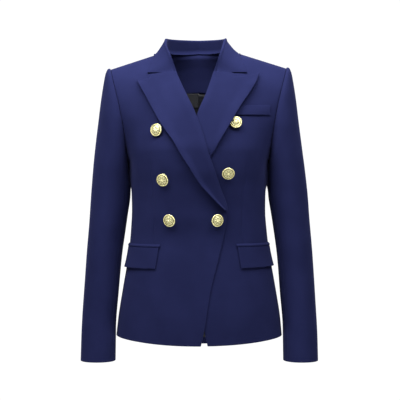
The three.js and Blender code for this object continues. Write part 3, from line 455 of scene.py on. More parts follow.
def front_grid(side, sizes):
    levels = np.concatenate([
        graded(1.0, 60, start=(0.0011, 0.0033, 0.008)),
        1 + graded(1.0, 74, end=(0.004, 0.012, 0.03))[1:],
    ])
    side_turn = math.pi if side == "right" else 0.0
    turns, from_side, from_dart = [], [], []
    for level in levels:
        one = np.array(level)

        def distances_of(length, line):
            z = line[:, 2].mean()
            dart = DART[side].read("x", z)
            order = np.argsort(line[:, 0])
            at = np.interp(dart, line[order, 0], length[order])
            outer = graded(at, 22, start=(0.35, 0.9, 2.0, 4.0), end=(0.3, 0.7, 1.3, 2.4, 4.5))
            inner = graded(length[-1] - at, 34, start=(0.3, 0.7, 1.3, 2.4, 4.5), end=(0.4, 1.2, 3.0))
            from_dart.append(np.concatenate([outer - at, inner[1:]]))
            return np.concatenate([outer, at + inner[1:]])

        row, distances, _ = paced_turns(one, side_turn, float(front_inner_turn(side, one)), False, distances_of)
        turns.append(row)
        from_side.append(distances)
    turns, from_side, from_dart = np.array(turns), np.array(from_side), np.array(from_dart)
    grid_levels = np.broadcast_to(levels[:, None], turns.shape)
    place = form_point(turns, grid_levels, False)
    normals = turn_to_seam(form_normal(turns, grid_levels, False), side, grid_levels, from_side)
    x, z = place[..., 0], place[..., 2]
    fade = smooth_step(-224, -256, z) * smooth_step(-412, -404, z)
    top_row = place[-1][None]
    from_shoulder = np.linalg.norm(place - top_row, axis=-1)
    pressed = 1 - 0.8 * smooth_step(0.97, 1.06, grid_levels)
    seams = crease(from_side, sizes["seam_depth"], 1.3) * pressed + crease(from_shoulder, sizes["seam_depth"], 1.3)
    # Close under the arm a soft fold of the front passes before the sleeve
    under_arm = smooth_step(-222, -245, z) * smooth_step(-298, -278, z)
    fold = under_arm * (1.8 if side == "right" else 2.8) * crease(from_side - 14, 1.0, 8.0)
    darts = fade * (crease(from_dart, sizes["dart_depth"], 1.1) + crease(from_dart, 0.5, 7.0))
    # The cloth drags a little from the underarm towards the bust
    drag_line = np.abs(x) - (148 + (z + 232) * 0.42)
    drag = 1.5 * crease(drag_line, 1.0, 8.0) * smooth_step(-345, -290, z) * smooth_step(-222, -236, z)
    loose = smooth_step(0, 40, from_side) * smooth_step(-20, -120, z)
    waves = gentle_noise(x, z, 4 if side == "right" else 9) * sizes["wave_height"] * loose
    offset = overlap_offset(side, x, z) + waves + fold - seams - darts - drag * smooth_step(3, 14, from_side)
    place[..., 1] -= SEAM_GAP / 2
    return place + normals * offset[..., None], normals, place


def hanging(x, z, below):
    """How far the facing and the lining hang forward of the back, below the neck seam."""
    inner = 1 - smooth_step(60, 130, np.abs(x))
    return (13 * (1 - np.exp(-below / 7.5)) + 2.5 * smooth_step(0, 10, below)) * inner * (1 - smooth_step(-120, -300, z))


def back_neck_share(level):
    below = np.clip((2 - level) / (2 - BACK_NECK_LEVEL), 0, 1)
    return (1 - below * below) ** 0.7


def back_grid(side, sizes):
    below = graded(BACK_NECK_LEVEL, 96, start=(0.0011, 0.0033, 0.008))
    neck_turn = graded(math.pi / 2, 22, end=(0.02, 0.06))
    levels = np.concatenate([below, 2 - (2 - BACK_NECK_LEVEL) * np.cos(neck_turn[1:])])
    levels[-1] = 2.0
    outer_turn = math.pi if side == "right" else 0.0
    turns, from_side, from_centre = [], [], []
    for level in levels:
        one = np.array(level)
        inner_turn = math.pi / 2
        if level > BACK_NECK_LEVEL:
            x = (SIGN[side] * NECK_HALF_WIDTH + NECK_SHIFT) * back_neck_share(one)
            inner_turn = float(turn_at(x, one, True))
        row, distances, total = paced_turns(
            one, outer_turn, inner_turn, True,
            lambda length, line: graded(length[-1], 40, (0.35, 0.9, 2.0, 4.0), (0.35, 0.9, 2.0, 4.0)),
        )
        turns.append(row)
        from_side.append(distances)
        from_centre.append(total - distances)
    turns, from_side, from_centre = np.array(turns), np.array(from_side), np.array(from_centre)
    grid_levels = np.broadcast_to(levels[:, None], turns.shape)
    place = form_point(turns, grid_levels, True)
    normals = turn_to_seam(form_normal(turns, grid_levels, True), side, grid_levels, from_side)
    from_shoulder = np.linalg.norm(place - place[-1][None], axis=-1)
    on_centre = np.where(grid_levels <= BACK_NECK_LEVEL + 1e-6, 1.0, 0.0)
    depth = sizes["seam_depth"]
    seams = crease(from_side, depth, 1.3) + crease(from_shoulder, depth, 1.3)
    seams = seams + crease(from_centre, depth, 1.3) * on_centre
    x, z = place[..., 0], place[..., 2]
    loose = smooth_step(0, 40, from_side) * smooth_step(0, 30, from_centre) * smooth_step(-20, -120, z)
    waves = gentle_noise(x, z, 21) * sizes["wave_height"] * 1.3 * loose
    across = np.linspace(0, 1, turns.shape[1])[None]
    share = from_side / np.maximum(from_side[:, -1:], 1e-6)
    place[..., 0] += SIGN[side] * share * SEAM_GAP / 2 + 0 * across
    place[..., 1] += SEAM_GAP / 2
    return place + normals * (waves - seams)[..., None], normals, place


def sleeve_point(turn, along):
    ring = {name: SLEEVE.read(name, along) for name in SLEEVE.columns}
    power = 2 / ARMHOLE_ROUNDNESS
    cos, sin = signed_power(np.cos(turn), power), signed_power(np.sin(turn), power)
    share = (1 + cos) / 2
    x = lerp(ring["innerX"], ring["outerX"], share) - ring["scoop"] * np.sin(math.pi * share)
    y = ring["y"] - np.where(sin > 0, ring["front"], ring["back"]) * sin
    return points(x, y, lerp(ring["innerZ"], ring["outerZ"], share))


def sleeve_grid(side, from_turn, to_turn, cells, sizes):
    alongs = graded(1.0, 92, start=(0.0006, 0.0015, 0.004, 0.009), end=(0.0007, 0.002, 0.005))
    turns, from_start, from_end = [], [], []
    for along in alongs:
        fine = np.linspace(from_turn, to_turn, 400)
        line = sleeve_point(fine, np.full(fine.shape, along))
        length = np.pad(np.linalg.norm(np.diff(line, axis=0), axis=1).cumsum(), (1, 0))
        distances = graded(length[-1], cells, (0.35, 0.9, 2.0, 4.0), (0.35, 0.9, 2.0, 4.0))
        turns.append(np.interp(distances, length, fine))
        from_start.append(distances)
        from_end.append(length[-1] - distances)
    turn, seam_distance = np.array(turns), np.minimum(from_start, from_end)
    along = np.broadcast_to(alongs[:, None], turn.shape)
    step = 1e-3
    around = sleeve_point(turn + step, along) - sleeve_point(turn - step, along)
    down = sleeve_point(turn, np.minimum(1, along + step)) - sleeve_point(turn, np.maximum(0, along - step))
    normals = unit(np.cross(around, down))
    place = sleeve_point(turn, along)
    centre = (sleeve_point(turn * 0, along) + sleeve_point(turn * 0 + math.pi, along)) / 2
    facing = np.sum(normals * (place - centre), axis=-1, keepdims=True)
    normals = np.where(facing < 0, -normals, normals)
    plane = unit(np.array([SHOULDER_Z - UNDERARM_Z, 0.0, UNDERARM_X - SHOULDER_X]))
    hold = np.exp(-along / 0.012)
    normals = unit(normals - plane * (normals @ plane * hold)[..., None])
    share = (1 + np.cos(turn)) / 2
    place[..., 2] += SHOULDER_LIFT[side] * share * (1 - smooth_step(0, 0.5, along))
    # Ease held in the seam makes the head of the sleeve stand up
    roping = sizes["sleeve_head"] * np.exp(-(((along - 0.016) / 0.012) ** 2)) * smooth_step(0.5, 0.9, share)
    seams = crease(seam_distance, sizes["seam_depth"], 1.3) + crease(along * 615, sizes["seam_depth"] * 0.3, 2.0)
    height = place[..., 2]
    under_arm = smooth_step(-222, -245, height) * smooth_step(-298, -278, height)
    tuck = under_arm * (1.8 if side == "right" else 2.8) * crease(turn - math.pi - 0.24, 1.0, 0.14)
    bend = np.sin((height + 330 + 60 * np.sin(turn)) / 26.0) * np.exp(-(((height + 330) / 60) ** 2))
    folds = bend * smooth_step(0.7, -0.6, np.cos(turn)) * sizes["elbow_folds"]
    waves = gentle_noise(turn * 60, height, 31 if side == "right" else 37) * sizes["wave_height"] * 0.8
    waves = waves * smooth_step(0.12, 0.3, along) * smooth_step(0, 12, seam_distance)
    offset = roping - seams + tuck + (folds + waves) * smooth_step(0, 8, seam_distance)
    place = place + normals * offset[..., None]
    if side == "right":
        place[..., 0] *= -1
        normals[..., 0] *= -1
    place[..., 0] += SLEEVE_SWING * smooth_step(0.28, 0.52, along)
    return place, normals, along


def lapel_grid(side, sizes):
    table, cloth = LAPEL[side], 2.2
    alongs = graded(1.0, 104, start=(0.0012, 0.004, 0.01), end=(0.004, 0.012))
    acrosses = graded(1.0, 30, start=(0.01, 0.025), end=(0.004, 0.012, 0.03))
    along, across = np.meshgrid(alongs, acrosses, indexing="ij")
    bow = GORGE_BOW[side] * np.sin(math.pi * across) * (1 - smooth_step(0, 0.15, along))
    # The gorge is sewn from the roll line to the notch
    sewn = 1 - smooth_step(*NOTCH_FROM[side], across)
    bow = bow + (1.7 * sewn - 7.6 * (1 - sewn) * np.sin(math.pi * across)) * (1 - smooth_step(0, 0.05, along))
    roll_z = table.read("rollZ", along)
    x = lerp(edge_x(side, roll_z), table.read("edgeX", along), across)
    z = lerp(roll_z, table.read("edgeZ", along), across) + bow
    point, normal = form_at(x, z, False)
    if side == "right":
        clearance = 1.1 + 2.0 * across**2
        shown = np.ones(x.shape)
    else:
        shown = smooth_step(8, 40, x - edge_x("right", z))
        over_button = np.exp(-(((x - 72) / 26) ** 2) - ((z + 148) / 34) ** 2)
        clearance = 1.5 + shown * (1.8 + 4.6 * over_button) * smooth_step(0, 0.6, across)
    first = point[:, :1]
    from_roll = np.linalg.norm(point - first, axis=-1)
    puff = sizes["roll_height"] * (1 - np.exp(-from_roll / 4)) * np.exp(-((from_roll / 20) ** 2))
    puff = puff * smooth_step(0.0, 0.15, along)
    lift = sizes["edge_lift"] * smooth_step(0.55, 1.0, across) ** 2 * smooth_step(0.02, 0.12, along)
    lift = lift * (0.6 + 0.4 * np.sin(math.pi * along))
    offset = overlap_offset(side, x, z) + clearance + 2.4 + (puff + lift) * shown
    leaf = point + normal * offset[..., None]
    # The fold at the roll line
    roll_point, roll_normal = point[:, 0], normal[:, 0]
    away = roll_point - point[:, 3]
    away = unit(away - roll_normal * np.sum(away * roll_normal, axis=-1, keepdims=True))
    base = overlap_offset(side, x[:, 0], z[:, 0])
    top = base + clearance[:, 0] + 2.4
    foot = base - 2.0
    radius = (top - foot) / 2
    fold, fold_normal = [], []
    for turn in np.linspace(math.pi, 0, 13)[:-1]:
        rise = foot + radius + radius * math.cos(turn)
        reach = FOLD_GAP + radius * math.sin(turn)
        fold.append(roll_point + roll_normal * rise[:, None] + away * reach[:, None])
        fold_normal.append(roll_normal * math.cos(turn) + away * math.sin(turn))
    grid = np.concatenate([np.stack(fold, axis=1), leaf], axis=1)
    normals = np.concatenate([np.stack(fold_normal, axis=1), normal], axis=1)
    return grid, normals, cloth


def neck_seam(side, along):
    sign = SIGN[side]
    turn = np.clip(along / NECK_POINT_ALONG, 0, 1) * math.pi / 2
    level = 2 - (2 - BACK_NECK_LEVEL) * np.cos(turn)
    x = (sign * NECK_HALF_WIDTH + NECK_SHIFT) * back_neck_share(level)
    back = form_point(turn_at(x, level, True), level, True)
    z = lerp(4.4, -49.6, np.clip((along - NECK_POINT_ALONG) / (1 - NECK_POINT_ALONG), 0, 1))
    front = form_at(edge_x(side, z), z, False)[0]
    return np.where((along <= NECK_POINT_ALONG)[..., None], back, front)


def collar_edge(side, along):
    end = smooth_step(0.8, 1, along)
    shift = 0.5 * NECK_SHIFT * smooth_step(0, 0.4, along)
    tip_x, tip_z = COLLAR_TIP[side]
    x = lerp(SIGN[side] * COLLAR.read("edgeX", along) + shift, tip_x, end)
    z = lerp(COLLAR.read("edgeZ", along), tip_z, end)
    back, front = form_at(x, z, True), form_at(x, z, False)
    is_back = (along < NECK_POINT_ALONG)[..., None]
    point, normal = np.where(is_back, back[0], front[0]), np.where(is_back, back[1], front[1])
    stand_off = 2.1 + 1.5 * smooth_step(0.76, 0.94, along)
    return point + normal * (overlap_offset(side, x, z) + stand_off)[..., None]


def eased(grid, passes):
    """A softer version of a grid that keeps its outline."""
    grid = grid.copy()
    for _ in range(passes):
        around = grid[2:, 1:-1] + grid[:-2, 1:-1] + grid[1:-1, 2:] + grid[1:-1, :-2]
        grid[1:-1, 1:-1] = grid[1:-1, 1:-1] * 0.5 + around * 0.125
    return grid


def seated(place, least, weight):
    """Keeps the leaf of the collar clear of the shoulder beneath it."""
    result = place.copy()
    for is_back in (False, True):
        chosen = (place[..., 1] > SHOULDER_SEAM_Y) == is_back
        part = place[chosen]
        if not len(part):
            continue
        two = np.full(len(part), 2.0)
        top = form_point(turn_at(part[:, 0], two, is_back), two, is_back)[:, 2]
        ground, normal = form_at(part[:, 0], np.minimum(part[:, 2], top - 0.5), is_back)
        height = np.sum((part - ground) * normal, axis=1)
        raise_by = np.maximum(0, least - height) * weight[chosen]
        result[chosen] = part + normal * raise_by[:, None]
    return result


LEAF_SHARES = np.concatenate([np.arange(0, 17) / 18, [0.93, 0.965, 0.985, 0.994, 1.0]])


def collar_grid(sizes):
    half = graded(1.0, 50, end=(0.0025, 0.008, 0.02))
    sides = []
    for side in SIDES:
        along = half[::-1] if side == "right" else half[1:]
        seam = neck_seam(side, along)
        at_back = (along < NECK_POINT_ALONG)
        inward = np.stack([-seam[:, 0], -seam[:, 1] * at_back, 0 * along], axis=-1)
        inward = np.where((along > NECK_POINT_ALONG)[:, None], np.array([-SIGN[side], 0.0, 0.0]), inward)
        inward = unit(inward)
        fade = (1 - smooth_step(0.86, 1, along))[:, None]
        foot = seam + inward * SEAM_GAP + np.array([0, 0, SEAM_GAP * 3])
        lean = COLLAR.read("leanRight" if side == "right" else "leanLeft", along)
        roll = foot + inward * lean[:, None]
        roll[:, 2] = np.maximum(COLLAR.read("rollZ", along), foot[:, 2] + 0.5)
        roll[:, 1] -= COLLAR_FORWARD * np.sin(math.pi * smooth_step(NECK_POINT_ALONG, 1, along))
        edge = collar_edge(side, along)
        outward = edge - roll
        outward[:, 2] = 0
        outward = unit(outward)
        radius = sizes["collar_roll"]
        bulge = lerp(3.0, -1.0, smooth_step(0.3, NECK_POINT_ALONG, along))[:, None]
        # At the back the stand runs on a little way down over the top of the facing
        below = (1 - smooth_step(0.45, 0.62, along))[:, None]
        lower = foot + below * (inward * 4.0 + np.array([0, 0, -4.2]))
        middle = foot + below * (inward * 2.6 + np.array([0, 0, -1.6]))
        profile = [lower, lerp(lower, middle, 0.5), middle] + [lerp(foot, roll, k / 8) for k in range(1, 8)]
        for turn in np.linspace(math.pi, 0, 13):
            bend = roll + outward * (radius + radius * math.cos(turn))
            bend[:, 2:] += radius * fade * math.sin(turn)
            profile.append(bend)
        start = profile[-1]
        for share in LEAF_SHARES[1:]:
            leaf = lerp(start, edge, share)
            leaf[:, 2:] += bulge * fade * math.sin(math.pi * share)
            profile.append(leaf)
        sides.append(np.stack(profile, axis=1))
    grid = np.concatenate(sides, axis=0)
    # Above the neck seam there is no cloth under the leaf, so it hangs straight from the roll
    every = np.concatenate([half[::-1], half[1:]])
    nape = 1 - smooth_step(0.34, NECK_POINT_ALONG, every)
    seam_z = np.concatenate([neck_seam("right", half[::-1]), neck_seam("left", half[1:])])[:, 2]
    above = smooth_step(-6, 12, grid[:, 22:, 2] - seam_z[:, None])
    grid[:, 22:] = eased(seated(grid[:, 22:], 2.1, 1 - above * nape[:, None]), 6)
    return grid


def grid_normals(grid):
    return unit(np.cross(np.gradient(grid, axis=1), np.gradient(grid, axis=0)))


def facing_as(grid, normals):
    """Normals of a grid that was bent, on the side that the given ones face."""
    bent = grid_normals(grid)
    return np.where(np.sum(bent * normals, axis=-1, keepdims=True) < 0, -bent, bent)


def on_front(side, level, turn, height):
    place, normal = form_point(turn, level, False), form_normal(turn, level, False)
    offset = overlap_offset(side, place[..., 0], place[..., 2]) + height
    return place + normal * offset[..., None], normal


def pocket_grid(side, cells, top_z, depth, outer_drop, inner_x, slant, height_at):
    """A strip lying on a front, from its inner end to near the side seam."""
    across_line = graded(1.0, cells[0], (0.003, 0.009, 0.02), (0.003, 0.009, 0.02))
    down_line = graded(1.0, cells[1], (0.006, 0.02, 0.05), (0.006, 0.02, 0.05))
    down, across = np.meshgrid(down_line, across_line, indexing="ij")
    level = (top_z - (depth + outer_drop * across) * down - HEM_Z) / (UNDERARM_Z - HEM_Z)
    inner_turn = turn_at(SIGN[side] * (inner_x + slant * down), level, False)
    outer_turn = math.pi - FLAP_OUTER_TURN if side == "right" else FLAP_OUTER_TURN
    turn = lerp(inner_turn, outer_turn, across)
    return on_front(side, level, turn, height_at(across, down))


# Finishes

def linear(hex_colour):
    """A sRGB hex colour as linear red, green and blue."""
    channels = [int(hex_colour[i : i + 2], 16) / 255 for i in (1, 3, 5)]
    return tuple(c / 12.92 if c <= 0.04045 else ((c + 0.055) / 1.055) ** 2.4 for c in channels)


def add_node(tree, kind, settings=None, links=None):
    """Adds a node, sets its properties and inputs, and links the inputs that are sockets."""
    node = tree.nodes.new(kind)
    for name, value in (settings or {}).items():
        setattr(node, name, value)
    for name, value in (links or {}).items():
        socket = node.inputs[name]
        if isinstance(value, bpy.types.NodeSocket):
            tree.links.new(value, socket)
        else:
            socket.default_value = value
    return node


def new_finish(name):
    material = bpy.data.materials.get(name) or bpy.data.materials.new(name)
    material.use_nodes = True
    material.node_tree.nodes.clear()
    return material, material.node_tree


def opaque(colour):
    return (*colour, 1.0)


def mixed(tree, share, first, second, blend="MIX"):
    """The colour between two colours or sockets."""
    node = add_node(tree, "ShaderNodeMix", {"data_type": "RGBA", "blend_type": blend})
    for index, value in ((0, share), (6, first), (7, second)):
        if isinstance(value, bpy.types.NodeSocket):
            tree.links.new(value, node.inputs[index])
        else:
            node.inputs[index].default_value = value
    return node.outputs[2]


def remap(tree, value, low, high, new_low, new_high):
    node = add_node(
        tree, "ShaderNodeMapRange", {"clamp": True},
        {"Value": value, "From Min": low, "From Max": high, "To Min": new_low, "To Max": new_high},
    )
    return node.outputs["Result"]


def maths(tree, operation, first, second):
    node = add_node(tree, "ShaderNodeMath", {"operation": operation}, {0: first, 1: second})
    return node.outputs[0]


def finish_surface(tree, settings):
    shader = add_node(tree, "ShaderNodeBsdfPrincipled", None, settings)
    add_node(tree, "ShaderNodeOutputMaterial", None, {"Surface": shader.outputs["BSDF"]})


def worsted_suiting(colours, weave):
    """Navy worsted twill: matt, a soft sheen of fibre ends where it turns away, paler in soft random patches and on its
    turned edges (partly wear, partly painted highlight), fine diagonal ribs.
    """
    material, tree = new_finish("navy_worsted_twill")
    uv = add_node(tree, "ShaderNodeUVMap", {"uv_map": "cloth"}).outputs["UV"]
    place = add_node(tree, "ShaderNodeTexCoord").outputs["Object"]
    # Real ribs are about 0.5 mm apart. They are drawn at the asked spacing so that a close view shows them
    turned = add_node(
        tree, "ShaderNodeMapping", None,
        {"Vector": uv, "Rotation": (0, 0, math.radians(63)), "Scale": (0.1 / weave,) * 3},
    ).outputs["Vector"]
    rib = add_node(
        tree, "ShaderNodeTexWave", {"wave_type": "BANDS", "bands_direction": "X", "wave_profile": "SIN"},
        {"Vector": turned, "Scale": 3.14, "Distortion": 0.6, "Detail": 1.0, "Detail Scale": 2.0},
    ).outputs["Fac"]
    fibre = add_node(
        tree, "ShaderNodeTexNoise", None, {"Vector": place, "Scale": 900.0, "Detail": 2.0, "Roughness": 0.6},
    ).outputs["Fac"]
    cloud = add_node(
        tree, "ShaderNodeTexNoise", None, {"Vector": place, "Scale": 16.0, "Detail": 3.0, "Roughness": 0.5},
    ).outputs["Fac"]
    pressed = add_node(tree, "ShaderNodeNewGeometry").outputs["Pointiness"]
    thread = mixed(tree, remap(tree, rib, 0.2, 0.8, 0.0, 1.0), opaque(colours["shade"]), opaque(colours["cloth"]))
    aged = mixed(tree, remap(tree, cloud, 0.35, 0.65, 0.0, 0.16), thread, opaque(colours["bloom_and_edge_highlight"]))
    # Turned edges are painted paler: partly wear, partly a painted highlight where pressed edges would catch the light
    worn_and_painted_highlight = mixed(tree, remap(tree, pressed, 0.56, 0.7, 0.0, 0.3), aged, opaque(colours["bloom_and_edge_highlight"]))
    relief = maths(tree, "ADD", maths(tree, "MULTIPLY", rib, 0.7), maths(tree, "MULTIPLY", fibre, 0.6))
    bump = add_node(
        tree, "ShaderNodeBump", None, {"Strength": 0.35, "Distance": weave * 0.16, "Height": relief},
    ).outputs["Normal"]
    rough = remap(tree, fibre, 0.3, 0.7, 0.78, 0.92)
    finish_surface(tree, {
        "Base Color": worn_and_painted_highlight, "Roughness": rough, "Normal": bump, "IOR": 1.45, "Specular IOR Level": 0.025,
        "Sheen Weight": 0.1, "Sheen Roughness": 0.45, "Sheen Tint": opaque(colours["sheen"]),
    })
    return material


def twill_lining(colours):
    """Black viscose lining: a smooth, slippery cloth with a soft gloss and faint creases."""
    material, tree = new_finish("black_viscose_lining")
    uv = add_node(tree, "ShaderNodeUVMap", {"uv_map": "cloth"}).outputs["UV"]
    place = add_node(tree, "ShaderNodeTexCoord").outputs["Object"]
    # Threads are about 0.15 mm apart, drawn at 1.2 mm
    thread = add_node(
        tree, "ShaderNodeTexWave", {"wave_type": "BANDS", "bands_direction": "DIAGONAL"},
        {"Vector": uv, "Scale": 150.0, "Distortion": 0.4},
    ).outputs["Fac"]
    crease_noise = add_node(
        tree, "ShaderNodeTexNoise", None, {"Vector": place, "Scale": 22.0, "Detail": 3.0, "Distortion": 0.6},
    ).outputs["Fac"]
    # Painted highlight: the lining is painted paler where the crease noise is high, on the raised crests of its bump
    colour = mixed(tree, remap(tree, crease_noise, 0.35, 0.65, 0.0, 1.0),
                   opaque(colours["lining"]), opaque(colours["lining_light"]))
    relief = maths(tree, "ADD", maths(tree, "MULTIPLY", thread, 0.08), crease_noise)
    bump = add_node(tree, "ShaderNodeBump", None, {"Strength": 0.3, "Distance": 0.0015, "Height": relief})
    finish_surface(tree, {
        "Base Color": colour, "Roughness": remap(tree, crease_noise, 0.3, 0.7, 0.42, 0.58),
        "Normal": bump.outputs["Normal"], "IOR": 1.47, "Specular IOR Level": 0.2,
        "Anisotropic": 0.3, "Sheen Weight": 0.05,
    })
    return material


def woven_label(colours):
    """Damask woven label: dense satin ground with a fine cross rib, blank."""
    material, tree = new_finish("black_damask_label")
    uv = add_node(tree, "ShaderNodeUVMap", {"uv_map": "cloth"}).outputs["UV"]
    # Ribs are about 0.25 mm apart, drawn at 1 mm
    rib = add_node(
        tree, "ShaderNodeTexWave", {"wave_type": "BANDS", "bands_direction": "Y"},
        {"Vector": uv, "Scale": 314.0, "Distortion": 0.2},
    ).outputs["Fac"]
    grain = add_node(
        tree, "ShaderNodeTexNoise", None, {"Vector": uv, "Scale": 700.0, "Detail": 2.0},
    ).outputs["Fac"]
    shade = maths(tree, "MULTIPLY", rib, grain)
    colour = mixed(tree, remap(tree, shade, 0.1, 0.6, 0.0, 1.0), opaque(colours["label"]), opaque(colours["label_light"]))
    bump = add_node(tree, "ShaderNodeBump", None, {"Strength": 0.3, "Distance": 0.0003, "Height": rib})
    finish_surface(tree, {
        "Base Color": colour, "Roughness": remap(tree, grain, 0.3, 0.7, 0.5, 0.66),
        "Normal": bump.outputs["Normal"], "Specular IOR Level": 0.35,
    })
    return material


def gilt_brass(colours):
    """Pale gilt on stamped brass: bright on the high places, duller and browner in the hollows, which are painted
    darker towards the bottom of each button as painted shade.
    """
    material, tree = new_finish("pale_gilt_brass")
    place = add_node(tree, "ShaderNodeTexCoord").outputs["Object"]
    hollows_and_painted_shade = add_node(tree, "ShaderNodeAttribute", {"attribute_name": "hollows_and_painted_shade"}).outputs["Fac"]
    grain = add_node(
        tree, "ShaderNodeTexNoise", None, {"Vector": place, "Scale": 420.0, "Detail": 3.0},
    ).outputs["Fac"]
    # The mask holds the dull gilt of the hollows and painted shade towards the bottom of each button
    patina_and_painted_shade = maths(tree, "MULTIPLY", hollows_and_painted_shade, remap(tree, grain, 0.25, 0.7, 0.75, 1.0))
    colour = mixed(tree, patina_and_painted_shade, opaque(colours["gilt"]), opaque(colours["patina_and_painted_shade"]))
    rough = maths(tree, "ADD", remap(tree, grain, 0.3, 0.7, 0.2, 0.3), maths(tree, "MULTIPLY", hollows_and_painted_shade, 0.2))
    bump = add_node(tree, "ShaderNodeBump", None, {"Strength": 0.12, "Distance": 0.0002, "Height": grain})
    finish_surface(tree, {
        "Base Color": colour, "Metallic": 1.0, "Roughness": rough, "Normal": bump.outputs["Normal"],
    })
    return material


def stage_paper(colours):
    """Matt white paper under the blazer, with a barely visible tooth."""
    material, tree = new_finish("white_stage_paper")
    place = add_node(tree, "ShaderNodeTexCoord").outputs["Object"]
    tooth = add_node(
        tree, "ShaderNodeTexNoise", None, {"Vector": place, "Scale": 300.0, "Detail": 3.0},
    ).outputs["Fac"]
    bump = add_node(tree, "ShaderNodeBump", None, {"Strength": 0.1, "Distance": 0.0005, "Height": tooth})
    colour = mixed(tree, remap(tree, tooth, 0.3, 0.7, 0.0, 1.0), opaque(colours["paper"]), opaque(linear("#f7f7f7")))
    finish_surface(tree, {"Base Color": colour, "Roughness": 0.9, "Normal": bump.outputs["Normal"]})
    return material


def finishes(scene):
    chosen = scene.blazer_colours
    colours = {
        "cloth": chosen.cloth, "shade": chosen.cloth_shade, "bloom_and_edge_highlight": chosen.bloom_and_edge_highlight, "sheen": chosen.sheen,
        "lining": chosen.lining, "lining_light": chosen.lining_light, "label": chosen.label,
        "label_light": chosen.label_light, "gilt": chosen.gilt, "patina_and_painted_shade": chosen.patina_and_painted_shade, "paper": chosen.paper,
    }
    colours = {name: tuple(value) for name, value in colours.items()}
    return {
        "suiting": worsted_suiting(colours, scene.blazer_sizes.weave),
        "lining": twill_lining(colours),
        "label": woven_label(colours),
        "button_metal": gilt_brass(colours),
        "paper": stage_paper(colours),
    }


def sizes_of(scene):
    """The chosen sizes, in millimetres."""
    chosen = scene.blazer_sizes
    names = ("seam_depth", "dart_depth", "wave_height", "elbow_folds", "sleeve_head",
             "roll_height", "edge_lift", "collar_roll", "panel_cloth", "turn_up")
    return {name: getattr(chosen, name) * 1000 for name in names}


def settle(piece, node, slot, flat=None, area=None, held="stretched", rests_on=()):
    """Puts a finished piece in place of its node, on the body."""
    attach(piece, "root")
    if node:
        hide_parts(node)


# Repeated things: stitches along a seam and the rope round a button

def group_input(tree, name, kind, default=None):
    socket = tree.interface.new_socket(name, in_out="INPUT", socket_type=kind)
    if default is not None:
        socket.default_value = default
    return socket.identifier


def rope_tree(material):
    """Strands laid aslant round each button's rim. Each vertex of the base mesh is one button's place."""
    tree = bpy.data.node_groups.new("button_rope", "GeometryNodeTree")
    tree.is_modifier = True
    group_input(tree, "Geometry", "NodeSocketGeometry")
    sockets = {
        "radius": group_input(tree, "Rope radius", "NodeSocketFloat", 0.0117),
        "count": group_input(tree, "Strands", "NodeSocketInt", 44),
        "size": group_input(tree, "Strand size", "NodeSocketFloat", 0.0011),
        "slant": group_input(tree, "Slant", "NodeSocketFloat", 0.75),
    }
    tree.interface.new_socket("Geometry", in_out="OUTPUT", socket_type="NodeSocketGeometry")
    given = tree.nodes.new("NodeGroupInput")
    ring = add_node(tree, "GeometryNodeCurvePrimitiveCircle", {"mode": "RADIUS"}, {
        "Radius": given.outputs["Rope radius"], "Resolution": given.outputs["Strands"],
    }).outputs["Curve"]
    strand = add_node(tree, "GeometryNodeMeshUVSphere", None, {"Segments": 8, "Rings": 5, "Radius": 1.0})
    tangent = tree.nodes.new("GeometryNodeInputTangent").outputs["Tangent"]
    turned = add_node(tree, "FunctionNodeAlignRotationToVector", {"axis": "X", "pivot_axis": "Z"}, {"Vector": tangent})
    slant = add_node(tree, "ShaderNodeCombineXYZ", None, {"Z": given.outputs["Slant"]})
    slanted = add_node(tree, "FunctionNodeRotateRotation", {"rotation_space": "LOCAL"}, {
        "Rotation": turned.outputs["Rotation"],
        "Rotate By": add_node(tree, "FunctionNodeEulerToRotation", None, {"Euler": slant.outputs["Vector"]}).outputs[0],
    })
    stretch = add_node(tree, "ShaderNodeVectorMath", {"operation": "SCALE"}, {
        "Vector": (1.25, 0.62, 0.62), "Scale": given.outputs["Strand size"],
    })
    strands = add_node(tree, "GeometryNodeInstanceOnPoints", None, {
        "Points": ring, "Instance": strand.outputs["Mesh"],
        "Rotation": slanted.outputs["Rotation"], "Scale": stretch.outputs["Vector"],
    })
    one = add_node(tree, "GeometryNodeRealizeInstances", None, {"Geometry": strands.outputs["Instances"]})
    facing = add_node(tree, "GeometryNodeInputNamedAttribute", {"data_type": "FLOAT_VECTOR"}, {"Name": "facing"})
    aimed = add_node(tree, "FunctionNodeAlignRotationToVector", {"axis": "Z"}, {"Vector": facing.outputs["Attribute"]})
    ropes = add_node(tree, "GeometryNodeInstanceOnPoints", None, {
        "Points": given.outputs["Geometry"], "Instance": one.outputs["Geometry"], "Rotation": aimed.outputs["Rotation"],
    })
    real = add_node(tree, "GeometryNodeRealizeInstances", None, {"Geometry": ropes.outputs["Instances"]})
    smooth = add_node(tree, "GeometryNodeSetShadeSmooth", None, {"Geometry": real.outputs["Geometry"]})
    painted = add_node(tree, "GeometryNodeSetMaterial", None, {"Geometry": smooth.outputs["Geometry"], "Material": material})
    add_node(tree, "NodeGroupOutput", None, {"Geometry": painted.outputs["Geometry"]})
    return tree, sockets


